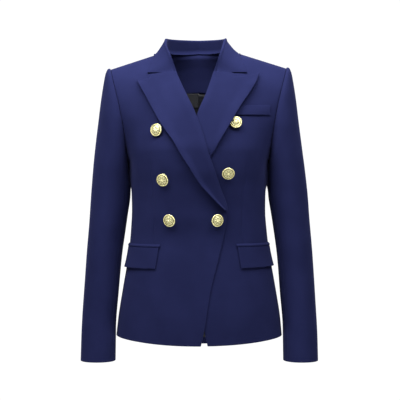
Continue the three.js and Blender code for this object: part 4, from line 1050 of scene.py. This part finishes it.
def stitch_tree(material):
    """Small flat stitches laid along paths. The base mesh holds the paths as edges, with the cloth's outward direction."""
    tree = bpy.data.node_groups.new("felling_stitches", "GeometryNodeTree")
    tree.is_modifier = True
    group_input(tree, "Geometry", "NodeSocketGeometry")
    sockets = {
        "spacing": group_input(tree, "Stitch spacing", "NodeSocketFloat", 0.004),
        "length": group_input(tree, "Stitch length", "NodeSocketFloat", 0.0022),
        "width": group_input(tree, "Thread width", "NodeSocketFloat", 0.0005),
    }
    tree.interface.new_socket("Geometry", in_out="OUTPUT", socket_type="NodeSocketGeometry")
    given = tree.nodes.new("NodeGroupInput")
    curve = add_node(tree, "GeometryNodeMeshToCurve", None, {"Mesh": given.outputs["Geometry"]})
    spaced = add_node(tree, "GeometryNodeResampleCurve", {"mode": "LENGTH"}, {
        "Curve": curve.outputs["Curve"], "Length": given.outputs["Stitch spacing"],
    })
    tangent = tree.nodes.new("GeometryNodeInputTangent").outputs["Tangent"]
    along = add_node(tree, "FunctionNodeAlignRotationToVector", {"axis": "X"}, {"Vector": tangent})
    facing = add_node(tree, "GeometryNodeInputNamedAttribute", {"data_type": "FLOAT_VECTOR"}, {"Name": "facing"})
    upright = add_node(tree, "FunctionNodeAlignRotationToVector", {"axis": "Z", "pivot_axis": "X"}, {
        "Rotation": along.outputs["Rotation"], "Vector": facing.outputs["Attribute"],
    })
    thread = add_node(tree, "GeometryNodeMeshUVSphere", None, {"Segments": 6, "Rings": 4, "Radius": 0.5})
    shape = add_node(tree, "ShaderNodeCombineXYZ", None, {
        "X": given.outputs["Stitch length"], "Y": given.outputs["Thread width"], "Z": given.outputs["Thread width"],
    })
    stitches = add_node(tree, "GeometryNodeInstanceOnPoints", None, {
        "Points": spaced.outputs["Curve"], "Instance": thread.outputs["Mesh"],
        "Rotation": upright.outputs["Rotation"], "Scale": shape.outputs["Vector"],
    })
    real = add_node(tree, "GeometryNodeRealizeInstances", None, {"Geometry": stitches.outputs["Instances"]})
    smooth = add_node(tree, "GeometryNodeSetShadeSmooth", None, {"Geometry": real.outputs["Geometry"]})
    painted = add_node(tree, "GeometryNodeSetMaterial", None, {"Geometry": smooth.outputs["Geometry"], "Material": material})
    add_node(tree, "NodeGroupOutput", None, {"Geometry": painted.outputs["Geometry"]})
    return tree, sockets


def laid_out(name, places, facings, edges, make_tree, material, values):
    """Runs a node tree over the given places and keeps its result as a plain mesh."""
    base = bpy.data.meshes.new(f"{name}_places")
    base.from_pydata((places * 0.001).tolist(), edges, [])
    attribute = base.attributes.new("facing", "FLOAT_VECTOR", "POINT")
    attribute.data.foreach_set("vector", np.asarray(facings, dtype=float).ravel())
    guide = bpy.data.objects.new(f"{name}_guide", base)
    bpy.context.scene.collection.objects.link(guide)
    tree, sockets = make_tree(material)
    modifier = guide.modifiers.new(name, "NODES")
    modifier.node_group = tree
    for key, value in values.items():
        modifier[sockets[key]] = value
    graph = bpy.context.evaluated_depsgraph_get()
    mesh = bpy.data.meshes.new_from_object(guide.evaluated_get(graph), depsgraph=graph)
    mesh.name = name
    if not mesh.polygons:
        raise RuntimeError(f"{name}: the node tree made nothing")
    guide.modifiers.clear()
    bpy.data.objects.remove(guide)
    piece = bpy.data.objects.new(name, mesh)
    bpy.context.scene.collection.objects.link(piece)
    return piece


# Buttons

BUTTON_RADIUS = 13.0
BUTTON_FOOT = 4.2
SHANK_RADIUS = 2.4


def button_profile(radius, turn):
    """Height of the stamped face of a button above the foot of its shank."""
    dome = 5.6 + 2.3 * (1 - (radius / 10.4) ** 2)
    petal = 0.9 * np.cos(4 * turn) ** 2 * smooth_step(1.8, 3.2, radius) * (1 - smooth_step(6.2, 7.6, radius))
    boss = 0.9 * (1 - smooth_step(1.2, 2.0, radius))
    ring = 0.35 * np.exp(-(((radius - 8.6) / 0.45) ** 2))
    return dome + petal + boss + ring


def button_face(axis, foot, name, material):
    """A stamped shell button: shank, rolled edge and a domed face with a plain rosette."""
    turns = np.linspace(0, 2 * math.pi, 97)[:-1]
    face_radii = [10.4, 10.0, 9.4, 9.0, 8.6, 8.2, 7.8, 7.2, 6.6, 6.0, 5.2, 4.4, 3.6, 3.0, 2.4, 2.0, 1.6, 1.2, 0.7, 0.3]
    rings = [
        (0.3, 0.0), (SHANK_RADIUS, 0.0), (SHANK_RADIUS, 0.6), (SHANK_RADIUS, BUTTON_FOOT - 0.3),
        (SHANK_RADIUS + 0.6, BUTTON_FOOT), (9.0, BUTTON_FOOT), (12.2, BUTTON_FOOT + 0.1), (12.8, BUTTON_FOOT + 0.4),
        (BUTTON_RADIUS, BUTTON_FOOT + 0.9), (12.85, BUTTON_FOOT + 1.4), (12.5, BUTTON_FOOT + 1.65),
        (11.7, BUTTON_FOOT + 1.5), (10.8, BUTTON_FOOT + 1.3),
    ]
    heights = [np.full(turns.shape, height) for _, height in rings]
    heights += [button_profile(radius, turns) for radius in face_radii]
    radii = [radius for radius, _ in rings] + face_radii
    hollow_of = [0.0] * 11 + [0.2, 1.0, 1.3, 1.2] + [
        float(1.1 * math.exp(-(((r - 9.4) / 0.5) ** 2)) + 0.5 * math.exp(-(((r - 7.4) / 0.5) ** 2)))
        for r in face_radii[2:]
    ]
    across = Vector(axis).to_track_quat("Z", "Y").to_matrix()
    frame_axes = np.array(across)
    shell, hollows_and_painted_shade = [], []
    for radius, height, base in zip(radii, heights, hollow_of):
        local = points(radius * np.cos(turns), radius * np.sin(turns), height)
        turned = local @ frame_axes.T
        shell.append(turned + foot)
        # Painted shade: the hollows' mask grows from the top to the bottom of each button, and a little towards +X,
        # standing in for dark reflections
        painted_lower_shade = 0.85 - 0.35 * turned[:, 2] / BUTTON_RADIUS + 0.12 * turned[:, 0] / BUTTON_RADIUS
        gap = np.sin(4 * turns) ** 2 * float(smooth_step(1.8, 3.2, radius) * (1 - smooth_step(6.4, 7.8, radius)))
        hollows_and_painted_shade.append(np.clip((base + gap) * painted_lower_shade, 0, 1))
    vertices = np.concatenate(shell + [np.array([foot]), np.array([foot + frame_axes @ [0, 0, 8.5]])])
    count, last = len(turns), len(radii) - 1
    faces = []
    for ring in range(last):
        for k in range(count):
            n = (k + 1) % count
            faces.append((ring * count + k, ring * count + n, (ring + 1) * count + n, (ring + 1) * count + k))
    for k in range(count):
        n = (k + 1) % count
        faces.append((n, k, len(vertices) - 2))
        faces.append((last * count + k, last * count + n, len(vertices) - 1))
    mesh = bpy.data.meshes.new(name)
    mesh.from_pydata((vertices * 0.001).tolist(), [], faces)
    attribute = mesh.attributes.new("hollows_and_painted_shade", "FLOAT", "POINT")
    attribute.data.foreach_set("value", np.concatenate(hollows_and_painted_shade + [[0.0, 0.0]]))
    mesh.materials.append(material)
    mesh.polygons.foreach_set("use_smooth", np.ones(len(faces), dtype=bool))
    mesh.update()
    piece = bpy.data.objects.new(name, mesh)
    bpy.context.scene.collection.objects.link(piece)
    return piece


def button_seat(name):
    """The foot and the axis of a button on the front that carries it."""
    x, z, face_x, face_z = BUTTONS[name]
    side = "right" if name.endswith(("bottom_left", "right")) else "left"
    place, normal = form_at(np.array([x]), np.array([z]), False)
    place, normal = place[0], normal[0]
    axis = np.array([face_x, -math.sqrt(1 - face_x**2 - face_z**2), face_z])
    tilt = math.sqrt(max(0.0, 1 - float(axis @ normal) ** 2))
    stand_off = float(overlap_offset(side, np.array([x]), np.array([z]))[0]) + SEAM_GAP / 2 + SHANK_RADIUS * tilt
    return place + normal * stand_off, axis


# Settings

class BlazerSizes(PropertyGroup):
    """Sizes of the cloth and of its small relief."""

    panel_cloth: FloatProperty(
        name="Panel cloth", description="Thickness of suiting with its interlining",
        default=0.002, min=0.0008, max=0.003, precision=4, unit="LENGTH",
    )
    seam_depth: FloatProperty(
        name="Seam depth", description="How deep the cloth dips at a pressed seam",
        default=0.0006, min=0.0, max=0.002, precision=4, unit="LENGTH",
    )
    dart_depth: FloatProperty(
        name="Dart depth", description="How deep the cloth dips along a dart",
        default=0.0008, min=0.0, max=0.002, precision=4, unit="LENGTH",
    )
    wave_height: FloatProperty(
        name="Wave height", description="Height of the long soft waves in the panels",
        default=0.0009, min=0.0, max=0.004, precision=4, unit="LENGTH",
    )
    elbow_folds: FloatProperty(
        name="Elbow folds", description="Height of the soft folds inside the elbow",
        default=0.0009, min=0.0, max=0.004, precision=4, unit="LENGTH",
    )
    sleeve_head: FloatProperty(
        name="Sleeve head", description="How far the eased head of the sleeve stands up beside the seam",
        default=0.0012, min=0.0, max=0.004, precision=4, unit="LENGTH",
    )
    roll_height: FloatProperty(
        name="Lapel roll", description="How far a lapel puffs up beside its roll line",
        default=0.0022, min=0.0, max=0.006, precision=4, unit="LENGTH",
    )
    edge_lift: FloatProperty(
        name="Lapel edge lift", description="How far the outer edge of a lapel stands off the chest",
        default=0.0046, min=0.0, max=0.008, precision=4, unit="LENGTH",
    )
    collar_roll: FloatProperty(
        name="Collar roll", description="Radius of the fold along the top of the collar",
        default=0.003, min=0.0015, max=0.006, precision=4, unit="LENGTH",
    )
    turn_up: FloatProperty(
        name="Hem turn-up", description="Depth of suiting turned up inside the hem and the cuffs",
        default=0.038, min=0.01, max=0.06, unit="LENGTH",
    )
    weave: FloatProperty(
        name="Twill ribs", description="Drawn distance between the diagonal ribs of the suiting",
        default=0.0016, min=0.0004, max=0.004, precision=4, unit="LENGTH",
    )
    stitch_spacing: FloatProperty(
        name="Stitch spacing", description="Distance between the felling stitches inside the neck",
        default=0.004, min=0.002, max=0.01, precision=4, unit="LENGTH",
    )
    rope_strands: IntProperty(
        name="Rope strands", description="Strands in the rope round each button",
        default=44, min=16, max=90,
    )


def colour_property(name, description, hex_colour):
    return FloatVectorProperty(
        name=name, description=description, subtype="COLOR", size=3, min=0.0, max=1.0, default=linear(hex_colour),
    )


class BlazerColours(PropertyGroup):
    """Colours of the cloths, the buttons and the stage."""

    cloth: colour_property("Navy", "The suiting's raised ribs", "#252a52")
    cloth_shade: colour_property("Navy shade", "Between the ribs", "#202347")
    # This colour also paints the highlight on the turned edges of the suiting
    bloom_and_edge_highlight: colour_property("Bloom", "Where fibre ends or wear make the navy paler", "#353a6c")
    sheen: colour_property("Sheen tint", "Light caught by loose fibre ends", "#8f93d8")
    lining: colour_property("Lining", "The black lining", "#121318")
    # Painted highlight on the raised crests of the lining's creases
    lining_light: colour_property("Lining, worn", "Where the lining catches the light", "#1c1d24")
    label: colour_property("Label", "The blank woven label", "#1a1b20")
    label_light: colour_property("Label rib", "The raised ribs of the label", "#2b2c33")
    gilt: colour_property("Gilt", "Bright gilt on the buttons", "#f7f1b8")
    # Also used for the painted shade towards the bottom of each button
    patina_and_painted_shade: colour_property("Patina", "Dull gilt in the hollows of the buttons", "#45380a")
    paper: colour_property("Paper", "The floor of the studio", "#fbfbfb")


class BlazerStudio(PropertyGroup):
    """Light and camera of the studio."""

    key_power: FloatProperty(
        name="Key light", description="Power of the soft box above the wearer's right shoulder",
        default=23.5, min=0.0, max=200.0, unit="POWER",
    )
    top_power: FloatProperty(
        name="Top light", description="Power of the soft box over the shoulders",
        default=4.0, min=0.0, max=200.0, unit="POWER",
    )
    side_power: FloatProperty(
        name="Side light", description="Power of each of the two large soft boxes at the sides",
        default=3.6, min=0.0, max=200.0, unit="POWER",
    )
    back_power: FloatProperty(
        name="Back light", description="Power of the soft box behind the blazer",
        default=26.0, min=0.0, max=200.0, unit="POWER",
    )
    floor_power: FloatProperty(
        name="Floor light", description="Power of the soft box that keeps the paper under the blazer pale",
        default=6.0, min=0.0, max=200.0, unit="POWER",
    )
    sky: FloatProperty(
        name="Surrounding light", description="How strongly the white surroundings light the blazer",
        default=0.09, min=0.0, max=5.0,
    )
    lens: FloatProperty(
        name="Lens", description="Focal length of the camera",
        default=118.3, min=20.0, max=300.0, unit="CAMERA",
    )
    distance: FloatProperty(
        name="Camera distance", description="From the camera to the shoulders",
        default=2.8, min=1.0, max=10.0, unit="LENGTH",
    )


# Operators

def inner_side(grid, edges):
    """Cells of a panel whose inside shows lining: all but the facing and the turn-up."""
    rows, cols = grid.shape[:2]
    lined = np.ones((rows - 1, cols - 1), dtype=bool)
    for hidden in edges:
        lined &= ~hidden[:-1, :-1]
    return lined


def cut_of(grid):
    """Width, length and area of a piece before it was sewn, in metres."""
    cell = np.cross(grid[1:, 1:] - grid[:-1, :-1], grid[:-1, 1:] - grid[1:, :-1])
    area = np.linalg.norm(cell, axis=-1).sum() / 2
    width = np.linalg.norm(np.diff(grid, axis=1), axis=-1).sum(axis=1).max()
    length = np.linalg.norm(np.diff(grid, axis=0), axis=-1).sum(axis=0).max()
    flat = (math.ceil(width) / 1000, max(10, math.ceil(length)) / 1000)
    return {"flat": flat, "area": min(area / 1e6, flat[0] * flat[1])}


class BLAZER_OT_fronts(Operator):
    """Makes both fronts, with darts, pressed edges, facings and turned-up hems."""

    bl_idname = "blazer.fronts"
    bl_label = "Fronts"

    def execute(self, context):
        sizes, made = sizes_of(context.scene), finishes(context.scene)
        for side in SIDES:
            grid, normals, place = front_grid(side, sizes)
            z = place[..., 2]
            edge = 1.0 * smooth_step(-332, -345, z[:, -1])
            facing = np.linalg.norm(place - place[:, -1:], axis=-1) < 85
            turn_up = z < HEM_Z + sizes["turn_up"]
            rounded = (1.0, edge, 0.0, 0.0)
            wall = cloth_wall(
                f"cloth_front_{side}", grid, normals, sizes["panel_cloth"],
                [made["suiting"], made["lining"]], rounded, inner_side(grid, (facing, turn_up)),
            )
            settle(wall, f"front_{side}", "suiting", held="hung", rests_on=[f"back_{side}"], **cut_of(grid))
        return {"FINISHED"}


class BLAZER_OT_backs(Operator):
    """Makes both halves of the back."""

    bl_idname = "blazer.backs"
    bl_label = "Backs"

    def execute(self, context):
        sizes, made = sizes_of(context.scene), finishes(context.scene)
        for side in SIDES:
            grid, normals, place = back_grid(side, sizes)
            turn_up = place[..., 2] < HEM_Z - 10 + sizes["turn_up"]
            wall = cloth_wall(
                f"cloth_back_{side}", grid, normals, sizes["panel_cloth"],
                [made["suiting"], made["lining"]], (1.0, 0.0, 0.0, 0.0), inner_side(grid, (turn_up,)),
            )
            settle(wall, f"back_{side}", "suiting", held="hung", rests_on=["neck_facing", "lining"], **cut_of(grid))
        return {"FINISHED"}


class BLAZER_OT_sleeves(Operator):
    """Makes the two-piece sleeves with their eased heads and soft elbows."""

    bl_idname = "blazer.sleeves"
    bl_label = "Sleeves"

    def execute(self, context):
        sizes, made = sizes_of(context.scene), finishes(context.scene)
        gap = SEAM_GAP / 2 / 57
        spans = {
            "top": (SLEEVE_BACK_SEAM + gap, SLEEVE_FRONT_SEAM - gap, 60),
            "under": (SLEEVE_FRONT_SEAM + gap, SLEEVE_BACK_SEAM + 2 * math.pi - gap, 34),
        }
        for side in SIDES:
            for name, (start, end, cells) in spans.items():
                grid, normals, along = sleeve_grid(side, start, end, cells, sizes)
                turn_up = along > 1 - sizes["turn_up"] / 615
                wall = cloth_wall(
                    f"cloth_sleeve_{name}_{side}", grid, normals, sizes["panel_cloth"],
                    [made["suiting"], made["lining"]], (0.0, 0.0, 1.0, 0.0), inner_side(grid, (turn_up,)),
                )
                node = f"sleeve_{name}_{side}"
                settle(wall, node, "suiting", held="hung", rests_on=[f"front_{side}", f"back_{side}"], **cut_of(grid))
        return {"FINISHED"}


class BLAZER_OT_lapels(Operator):
    """Makes the peaked lapels, rolled over at their roll lines."""

    bl_idname = "blazer.lapels"
    bl_label = "Lapels"

    def execute(self, context):
        sizes, made = sizes_of(context.scene), finishes(context.scene)
        for side in SIDES:
            grid, normals, cloth = lapel_grid(side, sizes)
            wall = cloth_wall(
                f"cloth_lapel_{side}", grid, normals, cloth, [made["suiting"]], (1.0, 1.0, 1.0, 0.0),
            )
            settle(wall, f"lapel_{side}", "suiting", held="folded", rests_on=[f"front_{side}"], **cut_of(grid))
        return {"FINISHED"}


class BLAZER_OT_collar(Operator):
    """Makes the collar: stand, roll and leaf."""

    bl_idname = "blazer.collar"
    bl_label = "Collar"

    def execute(self, context):
        sizes, made = sizes_of(context.scene), finishes(context.scene)
        grid = collar_grid(sizes)
        normals = -grid_normals(grid)
        wall = cloth_wall("cloth_collar", grid, normals, 1.8, [made["suiting"]], (0.3, 1.0, 0.3, 0.0))
        settle(wall, "collar", "suiting", held="folded", rests_on=["back_right", "back_left"], **cut_of(grid))
        return {"FINISHED"}


class BLAZER_OT_pockets(Operator):
    """Makes the flaps, their jets and the chest welt."""

    bl_idname = "blazer.pockets"
    bl_label = "Pockets"

    def execute(self, context):
        made = finishes(context.scene)
        cloth = [made["suiting"]]
        for side in SIDES:
            top_z, depth, outer_drop = (FLAP[side][name] for name in ("topZ", "depth", "outerDrop"))
            # The flap comes out from behind the jet and stands off the front towards its outer corner
            grid, normals = pocket_grid(
                side, (40, 26), top_z + 1.2, depth + 1.2, outer_drop, FLAP_INNER_X, FLAP_SLANT,
                lambda across, down: 1.9 + 0.9 * smooth_step(0.0, 0.12, down) + (0.3 + 2.2 * across) * down * down,
            )
            flap = cloth_wall(f"cloth_flap_{side}", grid, normals, 1.7, cloth, (1.0, 1.0, 1.0, 1.0))
            settle(flap, f"flap_{side}", "suiting", held="hung", rests_on=[f"jet_{side}"], **cut_of(grid))
            grid, normals = pocket_grid(
                side, (40, 10), top_z + JET_HEIGHT, JET_HEIGHT, 0, FLAP_INNER_X - 2, 0,
                lambda across, down: 1.5 + 1.9 * smooth_step(0.0, 0.7, down),
            )
            jet = cloth_wall(f"cloth_jet_{side}", grid, normals, 1.2, cloth, (0.4, 1.0, 1.0, 1.0))
            settle(jet, f"jet_{side}", "suiting", held="laid", rests_on=[f"front_{side}"], **cut_of(grid))
        across_line = graded(1.0, 40, (0.004, 0.012, 0.03), (0.004, 0.012, 0.03))
        down_line = graded(1.0, 12, (0.015, 0.05, 0.12), (0.015, 0.05, 0.12))
        down, across = np.meshgrid(down_line, across_line, indexing="ij")
        x = lerp(WELT["innerX"], WELT["outerX"], across)
        z = WELT["topZ"] - WELT["slant"] * (1 - across) - WELT["height"] * down
        place, normals = form_at(x, z, False)
        grid = place + normals * (2.4 + 0.4 * np.sin(math.pi * down))[..., None]
        welt = cloth_wall("cloth_chest_welt", grid, normals, 1.6, cloth, (1.0, 1.0, 1.0, 1.0))
        settle(welt, "chest_welt", "suiting", held="laid", rests_on=["front_left"], **cut_of(grid))
        return {"FINISHED"}


class BLAZER_OT_inside(Operator):
    """Makes what shows inside the neck: facing, lining and a blank label."""

    bl_idname = "blazer.inside"
    bl_label = "Neck facing, lining and label"

    def execute(self, context):
        made = finishes(context.scene)
        across, up = np.meshgrid(np.linspace(0, 1, 81), np.linspace(0, 1, 31))
        sine = np.sin((across - 0.5) * math.pi * 0.96)
        share = np.abs(sine) ** 1.4
        x = (np.sign(sine) * NECK_HALF_WIDTH + NECK_SHIFT) * share
        below = np.sqrt(1 - share ** (1 / 0.7))
        level = lerp(FACING_FOOT_LEVEL, 2 - (2 - BACK_NECK_LEVEL) * below - 0.006, up)
        turn = turn_at(x, level, True)
        normals = form_normal(turn, level, True)
        grid = form_point(turn, level, True) + points(0, SEAM_GAP / 2, 0) - 3.4 * normals
        grid = grid - points(0, hanging(grid[..., 0], grid[..., 2], grid[-1:, :, 2] - grid[..., 2]), 0)
        normals = facing_as(grid, normals)
        facing = cloth_wall("cloth_neck_facing", grid, normals, 1.2, [made["suiting"]])
        settle(facing, "neck_facing", "suiting", held="laid", rests_on=["back_right", "back_left"], **cut_of(grid))
        levels = graded(FACING_FOOT_LEVEL - 0.004 - 0.03, 90) + 0.03
        turn, level = np.meshgrid(np.linspace(math.pi / 16, math.pi * 15 / 16, 97), levels)
        normals = form_normal(turn, level, True)
        place = form_point(turn, level, True) + points(0, SEAM_GAP / 2, 0)
        pleat = 1.2 * crease(place[..., 0], 1.0, 9.0) - 0.6 * crease(place[..., 0] - 12, 1.0, 3.0)
        slack = 0.5 * gentle_noise(place[..., 0], place[..., 2], 51)
        grid = place - normals * (3.4 + np.clip(pleat + slack + 0.6, 0, 3))[..., None]
        grid = grid - points(0, hanging(grid[..., 0], grid[..., 2], 60.0), 0)
        normals = facing_as(grid, normals)
        lining = cloth_wall("cloth_lining", grid, normals, 1.0, [made["lining"]])
        settle(lining, "lining", "lining", held="hung", rests_on=["neck_facing"], **cut_of(grid))
        down, across = np.meshgrid(np.linspace(0, 1, 25), np.linspace(0, 1, 41), indexing="ij")
        x = lerp(LABEL["fromX"], LABEL["toX"], across)
        z = lerp(LABEL["topZ"], LABEL["footZ"], down)
        place, normals = form_at(x, z, True)
        grid = place + points(0, SEAM_GAP / 2 - hanging(x, z, 60.0), 0) - normals * 6.6
        normals = facing_as(grid, normals)
        label = cloth_wall("cloth_label", grid, normals, 0.8, [made["label"]])
        settle(label, "label", "label", held="laid", rests_on=["lining"], **cut_of(grid))
        return {"FINISHED"}


class BLAZER_OT_stitches(Operator):
    """Sews the label down with small felling stitches."""

    bl_idname = "blazer.stitches"
    bl_label = "Felling stitches"

    def execute(self, context):
        made, sizes = finishes(context.scene), context.scene.blazer_sizes
        inset = 1.6
        x0, x1 = LABEL["fromX"] + inset, LABEL["toX"] - inset
        z0, z1 = LABEL["footZ"] + inset, LABEL["topZ"] - inset
        share = np.linspace(0, 1, 24)
        paths = [
            (lerp(x0, x1, share), z1 + 0 * share), (x1 + 0 * share, lerp(z1, z0, share)),
            (lerp(x1, x0, share), z0 + 0 * share), (x0 + 0 * share, lerp(z0, z1, share)),
        ]
        places, facings, edges, first = [], [], [], 0
        for x, z in paths:
            place, normal = form_at(x, z, True)
            places.append(place + points(0, SEAM_GAP / 2 - hanging(x, z, 60.0), 0) - normal * 7.5)
            facings.append(-normal)
            edges += [(first + k, first + k + 1) for k in range(len(x) - 1)]
            first += len(x)
        values = {
            "spacing": sizes.stitch_spacing, "length": sizes.stitch_spacing * 0.55, "width": 0.0005,
        }
        stitches = laid_out(
            "label_stitches", np.concatenate(places), np.concatenate(facings), edges,
            stitch_tree, made["lining"], values,
        )
        settle(stitches, None, "lining")
        return {"FINISHED"}


class BLAZER_OT_buttons(Operator):
    """Stamps the six gilt shank buttons and lays a rope round each."""

    bl_idname = "blazer.buttons"
    bl_label = "Buttons"

    def execute(self, context):
        made, sizes = finishes(context.scene), context.scene.blazer_sizes
        places, facings = [], []
        for name in BUTTONS:
            foot, axis = button_seat(name)
            button = button_face(axis, foot, f"gilt_{name}", made["button_metal"])
            settle(button, name, "button_metal")
            places.append(foot + axis * (BUTTON_FOOT + 1.55))
            facings.append(axis)
        values = {
            "radius": 0.0115, "count": sizes.rope_strands, "size": 0.0011, "slant": 0.75,
        }
        rope = laid_out(
            "gilt_rope", np.array(places), np.array(facings), [], rope_tree, made["button_metal"], values,
        )
        settle(rope, None, "button_metal")
        return {"FINISHED"}


class BLAZER_OT_stage(Operator):
    """Makes the pale floor, the soft studio light and the camera."""

    bl_idname = "blazer.stage"
    bl_label = "Studio"

    def execute(self, context):
        scene, made = context.scene, finishes(context.scene)
        studio = scene.blazer_studio
        turns = np.linspace(0, 2 * math.pi, 65)[:-1]
        mesh = bpy.data.meshes.new("studio_floor")
        corners = points(1.1 * np.cos(turns), 1.1 * np.sin(turns), -1.25)
        mesh.from_pydata(corners.tolist(), [], [tuple(range(64))])
        mesh.materials.append(made["paper"])
        floor = bpy.data.objects.new("studio_floor", mesh)
        scene.collection.objects.link(floor)
        world = bpy.data.worlds.new("white_surroundings")
        world.use_nodes = True
        world.node_tree.nodes.clear()
        # The surroundings look white, but light the cloth less than a white room would
        seen = add_node(world.node_tree, "ShaderNodeLightPath").outputs["Is Camera Ray"]
        strength = remap(world.node_tree, seen, 0.0, 1.0, studio.sky, 1.05)
        # The gilt mirrors the white walls of the studio
        mirrored = add_node(world.node_tree, "ShaderNodeLightPath").outputs["Is Glossy Ray"]
        strength = maths(world.node_tree, "MAXIMUM", strength, maths(world.node_tree, "MULTIPLY", mirrored, 0.7))
        around = add_node(
            world.node_tree, "ShaderNodeBackground", None, {"Color": (1, 1, 1, 1), "Strength": strength},
        )
        add_node(world.node_tree, "ShaderNodeOutputWorld", None, {"Surface": around.outputs["Background"]})
        scene.world = world
        lamps = (
            ("left_key_softbox", studio.key_power, 0.8, (-0.5, -0.62, 0.95), (0.0, 0.0, -0.2)),
            ("right_key_softbox", studio.key_power * 0.7, 0.8, (0.5, -0.62, 0.95), (0.0, 0.0, -0.2)),
            ("top_softbox", studio.top_power, 1.0, (0.0, -0.15, 0.9), (0.0, 0.0, 0.0)),
            ("left_side_softbox", studio.side_power, 1.3, (-2.2, -1.5, 0.0), (0.0, 0.0, -0.3)),
            ("back_softbox", studio.back_power, 1.3, (0.5, 2.2, 1.0), (0.0, 0.0, -0.3)),
            ("floor_softbox", studio.floor_power, 1.6, (0.0, 0.0, -0.78), (0.0, 0.0, -1.25)),
            ("right_side_softbox", studio.side_power * 0.75, 1.3, (2.2, -1.5, 0.0), (0.0, 0.0, -0.3)),
        )
        for name, power, size, place, target in lamps:
            light = bpy.data.lights.new(name, "AREA")
            light.shape, light.size, light.energy = "SQUARE", size, power
            lamp = bpy.data.objects.new(name, light)
            lamp.location = place
            lamp.rotation_euler = (Vector(target) - Vector(place)).to_track_quat("-Z", "Y").to_euler()
            scene.collection.objects.link(lamp)
        data = bpy.data.cameras.new("studio_camera")
        data.lens, data.sensor_width = studio.lens, 36.0
        camera = bpy.data.objects.new("studio_camera", data)
        camera.location = (0.0032, -studio.distance, -0.315)
        camera.rotation_euler = (math.radians(90), 0, 0)
        scene.collection.objects.link(camera)
        scene.camera = camera
        scene.view_settings.view_transform = "Standard"
        return {"FINISHED"}


STEPS = (
    BLAZER_OT_fronts, BLAZER_OT_backs, BLAZER_OT_sleeves, BLAZER_OT_lapels, BLAZER_OT_collar,
    BLAZER_OT_pockets, BLAZER_OT_inside, BLAZER_OT_stitches, BLAZER_OT_buttons, BLAZER_OT_stage,
)


class BLAZER_PT_sidebar(Panel):
    """Lists the pieces of the blazer and its settings."""

    bl_idname = "BLAZER_PT_sidebar"
    bl_label = "Double breasted blazer"
    bl_space_type = "VIEW_3D"
    bl_region_type = "UI"
    bl_category = "Blazer"

    def draw(self, context):
        layout, scene = self.layout, context.scene
        for settings in (scene.blazer_sizes, scene.blazer_colours, scene.blazer_studio):
            box = layout.box()
            for name in settings.bl_rna.properties.keys():
                if name not in ("rna_type", "name"):
                    box.prop(settings, name)
        for step in STEPS:
            layout.operator(step.bl_idname)


GROUPS = {"blazer_sizes": BlazerSizes, "blazer_colours": BlazerColours, "blazer_studio": BlazerStudio}


def register():
    for group in GROUPS.values():
        bpy.utils.register_class(group)
    for name, group in GROUPS.items():
        setattr(bpy.types.Scene, name, PointerProperty(type=group))
    for step in STEPS:
        bpy.utils.register_class(step)
    bpy.utils.register_class(BLAZER_PT_sidebar)


def unregister():
    bpy.utils.unregister_class(BLAZER_PT_sidebar)
    for step in reversed(STEPS):
        bpy.utils.unregister_class(step)
    for name, group in GROUPS.items():
        delattr(bpy.types.Scene, name)
        bpy.utils.unregister_class(group)


def main():
    register()
    for step in STEPS:
        name = step.bl_idname.split(".")[1]
        getattr(bpy.ops.blazer, name)()


if __name__ == "__main__":
    main()
